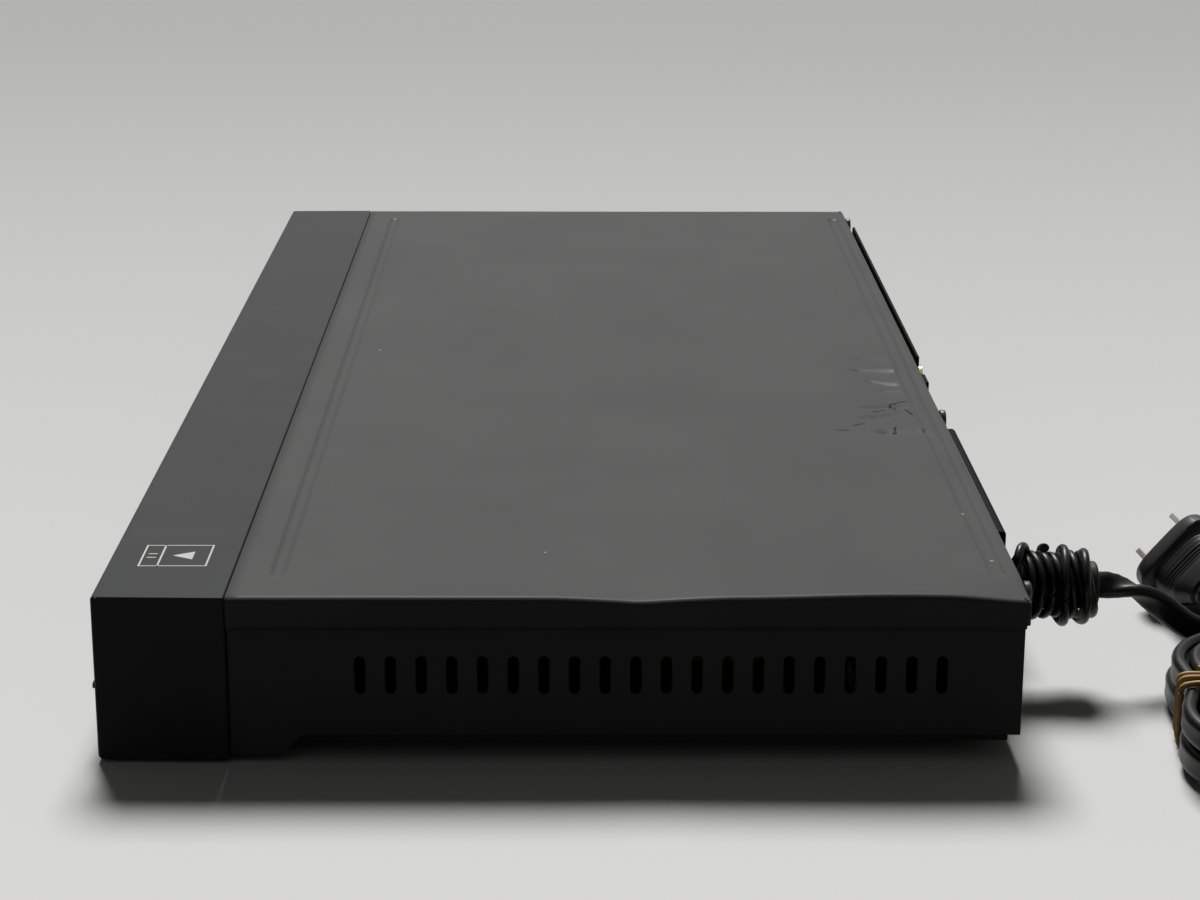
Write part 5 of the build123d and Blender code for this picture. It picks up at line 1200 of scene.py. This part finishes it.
@dataclass
class MainsLead:
    """The flat twin lead with its boot, wire tie, hank, band and plug. Sizes in millimetres."""

    shop: Workshop
    width: float = 6.6
    thick: float = 3.3
    boot_edge: float = 0.4
    groove_arc: float = radians(220.8)
    groove_points: int = 10
    exit: tuple = (165.0, 124.9, 24.5)
    exit_route: tuple = ((165.0, 132.2, 24.5), (165.4, 140.3, 20.0), (164.8, 148.3, 12.9))
    plug_route: tuple = ((165.5, 151.6, 4.9), (157.8, 159.2, 9.0))
    into_hank: float = 8.0
    out_of_hank: float = 12.0
    into_plug: float = 8.0
    turn_over: tuple = (0.0, 0.45, 1.0, 1.0)
    hank_tail: tuple = (-1.0, -1.0)
    hank_lead_in: int = 4
    hank_run_shape: tuple = ((-1.0, 0.0), (-0.45, 0.55), (0.0, 1.0), (0.45, 0.55), (1.0, 0.0))
    hank_x: float = 206.5
    hank_y: float = 159.5
    hank_turn: float = -8.0
    hank_half_run: float = 16.0
    hank_end_r: float = 24.0
    hank_step: float = 4.0
    hank_inner_runs: int = 9
    hank_waist: float = 3.0
    hank_layer_gap: float = 0.6
    hank_low_z: float = 1.7
    end_points: int = 7
    wire_r: float = 1.1
    wire_turns: float = 7.6
    wire_pitch: float = 2.42
    wire_back_turns: float = 2.3
    wire_back_pitch: float = 4.6
    wire_start_y: float = 104.8
    wire_first_angle: float = radians(40)
    wire_points: int = 14
    wire_clear: float = 0.15
    wire_slack: float = 0.6
    wire_settles: float = 0.6
    wire_climb: float = 1.5
    wire_climbs_in: float = 0.4
    wire_wander: tuple = (1.0, 0.5)
    wire_loop: tuple = (
        (-4.6, 4.0, 5.4), (-3.6, 3.6, 7.2), (-1.4, 2.8, 9.2),
        (1.4, 1.6, 9.9), (3.8, 0.7, 9.0), (5.2, 0.2, 7.4),
    )
    boot_r: float = 5.65
    band_r: float = 0.65
    band_turns: int = 3
    band_pitch: float = 3.6
    band_points: int = 24
    band_first_angle: float = 0.6
    band_clear: float = 1.5
    band_over: tuple = (0.4, 0.2)
    band_square: float = 1.45
    band_pull: float = 0.72
    band_stray: float = 1.1
    band_crosses_at: float = 1.6
    band_back_share: float = -0.6
    plug_back: tuple = (141.5, 161.2, 12.4)
    plug_turn: float = 5.7
    plug_roll: float = -48.0
    plug_sides: int = 48
    plug_neck: tuple = (
        (0.0, 7.6, 6.4, 2.6), (0.8, 8.6, 7.4, 2.6), (2.0, 8.6, 7.4, 2.6), (2.2, 7.8, 6.6, 2.6),
        (3.2, 7.8, 6.6, 2.6), (3.4, 9.6, 8.2, 2.8), (4.8, 9.8, 8.4, 2.8), (5.0, 8.8, 7.4, 2.8),
        (6.0, 9.0, 7.6, 2.8), (6.2, 11.4, 9.4, 3.0), (8.0, 13.0, 10.4, 3.0), (10.0, 15.6, 12.0, 3.2),
    )
    plug_face: tuple = (
        (24.0, 19.4, 13.6, 3.8), (24.3, 23.2, 16.2, 4.4), (24.9, 24.0, 17.0, 4.6),
        (29.9, 24.0, 17.0, 4.2), (30.6, 23.6, 16.6, 4.2), (31.0, 22.4, 15.4, 4.2),
    )
    grip: tuple = (11.2, 23.4)
    grip_ribs: int = 7
    grip_rib: float = 0.55
    grip_width: float = 16.4
    grip_widens: float = 2.6
    grip_height: float = 12.4
    grip_waist: float = 2.2
    grip_rises: float = 0.8
    grip_power: float = 3.6

    def hank_place(self, x: float, y: float, z: float) -> tuple:
        """A point of the hank's own frame in the row frame.

        Args:
            x: along the hank's runs.
            y: across them.
            z: its height.

        Returns:
            The point in the player's frame.
        """
        turn = radians(self.hank_turn)
        return (
            self.hank_x + x * cos(turn) - y * sin(turn),
            self.hank_y + x * sin(turn) + y * cos(turn),
            z,
        )

    def hank_side(self, run: int) -> float:
        """Distance of a run from the hank's middle."""
        depth = run if run <= self.hank_inner_runs else 2 * self.hank_inner_runs - run
        return self.hank_end_r - depth * self.hank_step / 2

    def hank_route(self) -> list:
        """The hank's control points, from its far end over the top and out along the lower layer.

        Returns:
            The points in millimetres.
        """
        low = self.hank_low_z + self.width / 2
        high = low + self.width + self.hank_layer_gap
        runs = 2 * self.hank_inner_runs
        points = [self.hank_place(
            -self.hank_half_run - self.hank_end_r + self.hank_tail[0], self.hank_tail[1], high)]
        for i in range(1, self.hank_lead_in):
            angle = pi - i * pi / (2 * self.hank_lead_in)
            points.append(self.hank_place(
                -self.hank_half_run + self.hank_end_r * cos(angle), self.hank_end_r * sin(angle), high))
        for run in range(runs):
            way = 1 if run % 2 == 0 else -1
            y = way * self.hank_side(run)
            z_in = high if run <= self.hank_inner_runs else low
            z_out = high if run < self.hank_inner_runs else low
            for share, draw in self.hank_run_shape:
                z = z_in + (z_out - z_in) * (share + 1) / 2
                points.append(self.hank_place(
                    way * share * self.hank_half_run, y - way * draw * self.hank_waist, z))
            if run < runs - 1:
                next_y = -way * self.hank_side(run + 1)
                radius = (abs(y) + abs(next_y)) / 2
                middle_y = (y + next_y) / 2
                for i in range(1, self.end_points):
                    angle = pi / 2 - i * pi / self.end_points
                    points.append(self.hank_place(
                        way * (self.hank_half_run + radius * cos(angle)),
                        middle_y + way * radius * sin(angle), z_out))
        return points

    def route(self) -> list:
        """The whole lead's control points from the boot to the plug, in millimetres.

        Returns:
            The points in millimetres.
        """
        hank = self.hank_route()
        first, last = Vector(hank[0]), Vector(hank[-1])
        turn = radians(self.hank_turn)
        into = Vector((-sin(turn), cos(turn), 0))
        out = Vector((-cos(turn), -sin(turn), 0))
        back = Vector(self.plug_back)
        axis = Vector((cos(radians(self.plug_turn)), sin(radians(self.plug_turn)), 0))
        return [
            self.exit, *self.exit_route, tuple(first - into * self.into_hank), *hank,
            tuple(last + out * self.out_of_hank), *self.plug_route,
            tuple(back + axis * self.into_plug), self.plug_back,
        ]

    def curve(
        self, name: str, points: Sequence[tuple], tilts: Sequence[float] | None = None,
    ) -> bpy.types.Object:
        """A curve of one open NURBS spline through control points in millimetres.

        Args:
            name: the curve's name.
            points: its control points.
            tilts: the section's turn at each point, in radians.

        Returns:
            The curve, not yet linked to the scene.
        """
        data = bpy.data.curves.new(name, "CURVE")
        data.dimensions = "3D"
        data.resolution_u = 5
        data.twist_mode = "Z_UP"
        spline = data.splines.new("NURBS")
        spline.points.add(len(points) - 1)
        for i, point in enumerate(points):
            spline.points[i].co = (point[0] * MM, point[1] * MM, point[2] * MM, 1.0)
            spline.points[i].tilt = tilts[i] if tilts else 0.0
        spline.order_u = 3
        spline.use_endpoint_u = True
        return bpy.data.objects.new(name, data)

    def twin_section(self) -> bpy.types.Object:
        """The lead's cross-section: two round cores side by side with a groove between them.

        Returns:
            The section's curve.
        """
        data = bpy.data.curves.new("twin_section", "CURVE")
        data.dimensions = "2D"
        spline = data.splines.new("POLY")
        half = self.thick / 2
        offset = self.width / 2 - half
        outline = []
        for side in (1, -1):
            for i in range(self.groove_points + 1):
                angle = -self.groove_arc / 2 + i * self.groove_arc / self.groove_points
                outline.append((side * (offset + half * cos(angle)), side * half * sin(angle)))
        spline.points.add(len(outline) - 1)
        for point, (along, across) in zip(spline.points, outline):
            point.co = (across * MM, along * MM, 0.0, 1.0)
        spline.use_cyclic_u = True
        return bpy.data.objects.new("twin_section", data)

    def centre_line(self, curve: bpy.types.Object) -> list:
        """The points along a curve that has no thickness.

        Args:
            curve: the curve to read.

        Returns:
            Its points in metres.
        """
        mesh = bpy.data.meshes.new_from_object(curve)
        line = [vertex.co.copy() for vertex in mesh.vertices]
        bpy.data.meshes.remove(mesh)
        return line

    def lead(self) -> tuple:
        """The flat lead, on edge out of the boot, turned over once and laid in the hank.

        Returns:
            The piece, and the points that it follows in metres.
        """
        points = self.route()
        turned = (*self.turn_over, *[1.0] * len(points))
        tilts = [-pi * turned[i] for i in range(len(points))]
        route = self.curve("lead_route", points, tilts)
        bpy.context.scene.collection.objects.link(route)
        line = self.centre_line(route)
        route.data.bevel_mode = "OBJECT"
        route.data.bevel_object = self.twin_section()
        route.data.use_fill_caps = True
        bpy.context.view_layer.update()
        mesh = bpy.data.meshes.new_from_object(route.evaluated_get(bpy.context.evaluated_depsgraph_get()))
        bpy.data.objects.remove(route)
        shape = bmesh.new()
        shape.from_mesh(mesh)
        bmesh.ops.remove_doubles(shape, verts=shape.verts, dist=SAME_POINT)
        bmesh.ops.recalc_face_normals(shape, faces=shape.faces)
        lead = self.shop.piece("mains_lead", shape, "cord_jacket", crease=60.0)
        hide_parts("mains_cord", "cord_hank")
        return lead, line

    def round_tube(
        self, name: str, points: Sequence[tuple], radius: float, slot: str, node: str,
    ) -> bpy.types.Object:
        """A round tube on a smooth curve, as a mesh that stands for a CAD node.

        Args:
            name: the piece's name without _tube.
            points: the curve's control points in millimetres.
            radius: the tube's radius in millimetres.
            slot: the slot of its finish.
            node: the CAD node that it stands for.

        Returns:
            The piece.
        """
        curve = self.curve(name, points)
        curve.data.bevel_depth = radius * MM
        curve.data.bevel_resolution = 4
        curve.data.use_fill_caps = True
        bpy.context.scene.collection.objects.link(curve)
        bpy.context.view_layer.update()
        mesh = bpy.data.meshes.new_from_object(curve.evaluated_get(bpy.context.evaluated_depsgraph_get()))
        bpy.data.objects.remove(curve)
        shape = bmesh.new()
        shape.from_mesh(mesh)
        bmesh.ops.remove_doubles(shape, verts=shape.verts, dist=SAME_POINT)
        bmesh.ops.recalc_face_normals(shape, faces=shape.faces)
        piece = self.shop.piece(f"{name}_tube", shape, slot, crease=60.0)
        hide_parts(node)
        return piece

    def wire_tie(self) -> bpy.types.Object:
        """The thin wire wound round the boot, tighter and looser from turn to turn.

        Returns:
            The piece.
        """
        points = [
            (self.exit[0] + x, self.wire_start_y + y, self.exit[2] + z) for x, y, z in self.wire_loop
        ]
        count = int(self.wire_points * (self.wire_turns + self.wire_back_turns)) + 1
        wide, narrow = self.wire_wander
        for turn in (i / self.wire_points for i in range(count)):
            angle = self.wire_first_angle - 2 * pi * turn
            back_turn = max(turn - self.wire_turns, 0.0)
            settled = smooth_step(0, self.wire_settles, turn)
            slack = self.wire_slack * (0.5 + 0.5 * sin(1.7 * turn + 2 * angle)) * settled
            climb = self.wire_climb * self.wire_r * smooth_step(0, self.wire_climbs_in, back_turn)
            radius = self.boot_r + self.wire_r + self.wire_clear + slack + climb
            wander = (wide * sin(angle + 0.3 * turn) + narrow * sin(2 * angle + 0.5 * turn)) * settled
            along = self.wire_pitch * min(turn, self.wire_turns) - self.wire_back_pitch * back_turn
            points.append((
                self.exit[0] + radius * cos(angle),
                self.wire_start_y + along + wander,
                self.exit[2] + radius * sin(angle),
            ))
        return self.round_tube("wire_tie", points, self.wire_r, "wire_jacket", "binding_wire")

    def rubber_band(self) -> bpy.types.Object:
        """The thin band, three times round the hank's waist.

        Returns:
            The piece.
        """
        low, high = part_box("rubber_band")
        left = self.hank_side(1) - self.hank_waist + self.thick / 2
        right = self.hank_side(0) - self.hank_waist + self.thick / 2
        half_y = (left + right) / 2 + self.band_clear
        middle_y = (right - left) / 2
        half_z = (high.z - low.z) / MM / 2 - self.band_r
        middle_z = (high.z + low.z) / MM / 2
        points = []
        for i in range(self.band_points * self.band_turns + 1):
            angle = pi / 2 - 2 * pi * i / self.band_points + self.band_first_angle
            across = self.band_square * cos(angle)
            upward = self.band_square * sin(angle)
            y = (half_y + self.band_over[0]) * max(-1.0, min(1.0, across))
            z = (half_z + self.band_over[1]) * max(-1.0, min(1.0, upward))
            pull = self.band_pull * (abs(across) > 1) * (abs(upward) > 1)
            turn = i / self.band_points
            x = -self.band_pitch * self.band_turns / 2 + self.band_pitch * turn
            x += self.band_stray * sin(angle) * (1 if turn < self.band_crosses_at else self.band_back_share)
            y -= pull * (1 if y > 0 else -1)
            z -= pull * (1 if z > 0 else -1)
            points.append(self.hank_place(x, middle_y + y, middle_z + z))
        return self.round_tube("band", points, self.band_r, "band_rubber", "rubber_band")

    def boot(self) -> bpy.types.Object:
        """The gland plate and the boot, with its edges broken."""
        return self.shop.crisp_copy("strain_relief", self.boot_edge * MM)

    def plug_matrix(self) -> Matrix:
        """The plug's frame: X from the lead's end to the blades, Y across the blades.

        Returns:
            The matrix.
        """
        return (
            Matrix.Translation(Vector(self.plug_back) * MM)
            @ Matrix.Rotation(radians(180 + self.plug_turn), 4, "Z")
            @ Matrix.Rotation(radians(self.plug_roll), 4, "X")
        )

    def plug_ring(self, x: float, width: float, height: float, power: float) -> Callable:
        """A rounded section of the plug.

        Args:
            x: its distance from the lead's end.
            width: its size across the blades.
            height: its size along the blades' edges.
            power: how square it is, 2 for an ellipse.

        Returns:
            A function from an angle to a point in metres.
        """
        def place(angle: float) -> Vector:
            """The point of the section at an angle.

            Args:
                angle: the angle in radians.

            Returns:
                The point in metres.
            """
            c, s = cos(angle), sin(angle)
            across = abs(c) ** (2 / power) * (1 if c > 0 else -1)
            up = abs(s) ** (2 / power) * (1 if s > 0 else -1)
            return Vector((x, across * width / 2, up * height / 2)) * MM
        return place

    def plug_stations(self) -> list:
        """The plug's sections: ribbed neck, waisted grip with ribs, and a rimmed face.

        Returns:
            The distance, width, height and squareness of each.
        """
        stations = list(self.plug_neck)
        start, end = self.grip
        for i in range(4 * self.grip_ribs + 1):
            x = start + (end - start) * i / (4 * self.grip_ribs)
            share = (x - start) / (end - start)
            waist = sin(pi * share)
            ridge = self.grip_rib if i % 4 in (1, 2) else 0.0
            width = self.grip_width + self.grip_widens * share + ridge * 0.6
            height = self.grip_height - self.grip_waist * waist + self.grip_rises * share
            height += 2 * ridge * max(waist, 0.0) ** 0.5
            stations.append((x, width, height, self.grip_power))
        return stations + list(self.plug_face)

    def plug(self) -> bpy.types.Object:
        """The moulded plug, grown from ring to ring.

        Returns:
            The piece.
        """
        shape = bmesh.new()
        sides = self.plug_sides
        ring = bmesh.ops.create_circle(shape, cap_ends=False, segments=sides, radius=MM)["verts"]
        edges = list({e for v in ring for e in v.link_edges})
        for number, (x, width, height, power) in enumerate(self.plug_stations()):
            if number:
                grown = bmesh.ops.extrude_edge_only(shape, edges=edges)["geom"]
                ring = [g for g in grown if isinstance(g, bmesh.types.BMVert)]
                edges = [g for g in grown if isinstance(g, bmesh.types.BMEdge)]
            place = self.plug_ring(x, width, height, power)
            ordered = self.ring_order(ring)
            for i, vertex in enumerate(ordered):
                vertex.co = place(2 * pi * (i + 0.5) / sides - pi)
        for last in (shape.verts[:sides], ordered):
            bmesh.ops.contextual_create(shape, geom=list(last))
        bmesh.ops.recalc_face_normals(shape, faces=shape.faces)
        bmesh.ops.transform(shape, matrix=self.plug_matrix(), verts=shape.verts)
        plug = self.shop.piece("plug_body", shape, "plug_plastic", crease=42.0)
        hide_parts("mains_plug")
        return plug

    def ring_order(self, ring: Sequence[bmesh.types.BMVert]) -> list:
        """The ring's vertices in order round it."""
        return sorted(ring, key=lambda vertex: atan2(vertex.co.z, vertex.co.y))

    def build(self) -> None:
        self.boot()
        lead, line = self.lead()
        length = sum((b - a).length for a, b in zip(line, line[1:]))
        log.info("lead is %.3f m long", length)
        wire = self.wire_tie()
        band = self.rubber_band()
        plug = self.plug()
        blades = self.shop.crisp_copy("plug_blades", 0.2 * MM)
        tuple(v * MM for v in self.exit)
        [tuple(point) for point in line]


@dataclass
class Studio:
    """The camera, floor, lamps and world."""

    camera_at: tuple = (0.7568, 0.00135, 0.2328)
    yaw: float = -0.009
    pitch: float = radians(16.465)
    roll: float = 0.003
    focal_pixels: float = 2634.0
    picture_width: float = 1200.0
    sensor: float = 36.0
    nearest: float = 0.01
    floor_half: float = 8.0
    floor_cells: int = 8
    floor_roughness: float = 0.85
    floor_specular: float = 0.05
    floor_near: tuple = (0.715, 0.715, 0.703)
    # painted shade: the floor far from the camera gets a darker colour in place of weaker light there
    floor_far_painted_shade: tuple = (0.44, 0.44, 0.433)
    painted_falloff_span: tuple = (0.6, -1.2)
    floor_unseen: tuple = (0.04, 0.04, 0.04)
    backdrop: tuple = (0.38, 0.38, 0.375)
    dim_side: tuple = (0.10, 0.10, 0.10)
    dim_range: tuple = (0.1, 0.7)
    ambient: float = 0.05
    light_strength: float = 3.7
    light_spread: float = radians(21.7)
    light_far: float = 6.0
    light_rise: float = 52.0
    light_bearing: float = 184.0

    def camera(self) -> None:
        """Puts the camera where the photograph was taken from."""
        data = bpy.data.cameras.new("camera")
        data.sensor_width = self.sensor
        data.lens = self.focal_pixels / self.picture_width * self.sensor
        data.clip_start = self.nearest
        ahead = Vector((-cos(self.pitch) * cos(self.yaw), -cos(self.pitch) * sin(self.yaw), -sin(self.pitch)))
        right = ahead.cross(Vector((0, 0, 1))).normalized()
        up = right.cross(ahead)
        leaned_right = right * cos(self.roll) + up * sin(self.roll)
        leaned_up = up * cos(self.roll) - right * sin(self.roll)
        turn = Matrix((leaned_right, leaned_up, -ahead)).transposed()
        camera = bpy.data.objects.new("camera", data)
        camera.matrix_world = Matrix.Translation(self.camera_at) @ turn.to_4x4()
        bpy.context.scene.collection.objects.link(camera)
        bpy.context.scene.camera = camera

    def floor(self) -> None:
        """A wide pale floor, its colour painted darker towards -X: painted shade for light that falls off
        away from the camera.
        """
        shape = bmesh.new()
        bmesh.ops.create_grid(
            shape, x_segments=self.floor_cells, y_segments=self.floor_cells, size=self.floor_half
        )
        mesh = bpy.data.meshes.new("floor")
        shape.to_mesh(mesh)
        shape.free()
        material = bpy.data.materials.new("floor_paper")
        material.use_nodes = True
        shader = material.node_tree.nodes["Principled BSDF"]
        board = NodeBoard(material.node_tree)
        path = board.add("ShaderNodeLightPath")
        seen = board.math("ADD", path.outputs["Is Camera Ray"], path.outputs["Is Glossy Ray"])
        seen = board.math("ADD", seen, path.outputs["Is Transmission Ray"], clamp=True)
        parts = board.add("ShaderNodeSeparateXYZ")
        board.feed(parts.inputs[0], board.add("ShaderNodeTexCoord").outputs["Object"])
        # painted shade: the floor's colour runs from the near tone to a darker far tone along -X, standing in
        # for light that falls off
        painted_falloff = board.ramp(parts.outputs["X"], self.painted_falloff_span[1], self.painted_falloff_span[0])
        paper_with_painted_falloff = board.mix(painted_falloff, (*self.floor_far_painted_shade, 1), (*self.floor_near, 1))
        board.feed(shader.inputs["Base Color"], board.mix(seen, (*self.floor_unseen, 1), paper_with_painted_falloff))
        shader.inputs["Roughness"].default_value = self.floor_roughness
        shader.inputs["Specular IOR Level"].default_value = self.floor_specular
        mesh.materials.append(material)
        floor = bpy.data.objects.new("floor", mesh)
        bpy.context.scene.collection.objects.link(floor)

    def daylight(self) -> None:
        """The soft light of a far wide window, the same all over the floor."""
        data = bpy.data.lights.new("window_light", "SUN")
        data.energy = self.light_strength
        data.angle = self.light_spread
        rise, bearing = radians(self.light_rise), radians(self.light_bearing)
        place = Vector((cos(rise) * cos(bearing), cos(rise) * sin(bearing), sin(rise))) * self.light_far
        lamp = bpy.data.objects.new("window_light", data)
        lamp.matrix_world = Matrix.Translation(place) @ (-place).to_track_quat("-Z", "Y").to_matrix().to_4x4()
        bpy.context.scene.collection.objects.link(lamp)

    def world(self) -> None:
        """A pale room, seen by the camera and in glossy surfaces, dimmer on the photographer's side."""
        world = bpy.data.worlds.new("room")
        bpy.context.scene.world = world
        world.use_nodes = True
        world.node_tree.nodes.clear()
        board = NodeBoard(world.node_tree)
        path = board.add("ShaderNodeLightPath")
        way = board.add("ShaderNodeTexCoord").outputs["Generated"]
        parts = board.add("ShaderNodeSeparateXYZ")
        board.feed(parts.inputs[0], way)
        dim = board.ramp(parts.outputs["X"], *self.dim_range)
        mirrored = board.mix(dim, (*self.backdrop, 1), (*self.dim_side, 1))
        seen = board.math(
            "ADD", path.outputs["Is Camera Ray"], path.outputs["Is Transmission Ray"], clamp=True
        )
        plain = board.add("ShaderNodeBackground")
        plain.inputs["Color"].default_value = (self.ambient, self.ambient, self.ambient, 1)
        pale = board.add("ShaderNodeBackground")
        pale.inputs["Color"].default_value = (*self.backdrop, 1)
        glossy = board.add("ShaderNodeBackground")
        board.feed(glossy.inputs["Color"], mirrored)
        first = board.add("ShaderNodeMixShader")
        board.feed(first.inputs[0], path.outputs["Is Glossy Ray"])
        board.feed(first.inputs[1], plain.outputs[0])
        board.feed(first.inputs[2], glossy.outputs[0])
        second = board.add("ShaderNodeMixShader")
        board.feed(second.inputs[0], seen)
        board.feed(second.inputs[1], first.outputs[0])
        board.feed(second.inputs[2], pale.outputs[0])
        board.feed(board.add("ShaderNodeOutputWorld").inputs["Surface"], second.outputs[0])

    def build(self) -> None:
        """Sets up the whole studio."""
        bpy.context.scene.view_settings.view_transform = "Standard"
        self.camera()
        self.floor()
        self.daylight()
        self.world()


def main() -> None:
    """Builds the dressed player in order."""
    logging.basicConfig(level=logging.INFO, format="%(name)s %(message)s")
    Studio().build()
    shop = Workshop()
    shop.dress_nodes()
    MainsLead(shop).build()
    TopCover(shop).build()
    Fascia(shop).build()
    RearSide(shop).build()


if __name__ == "__main__":
    main()
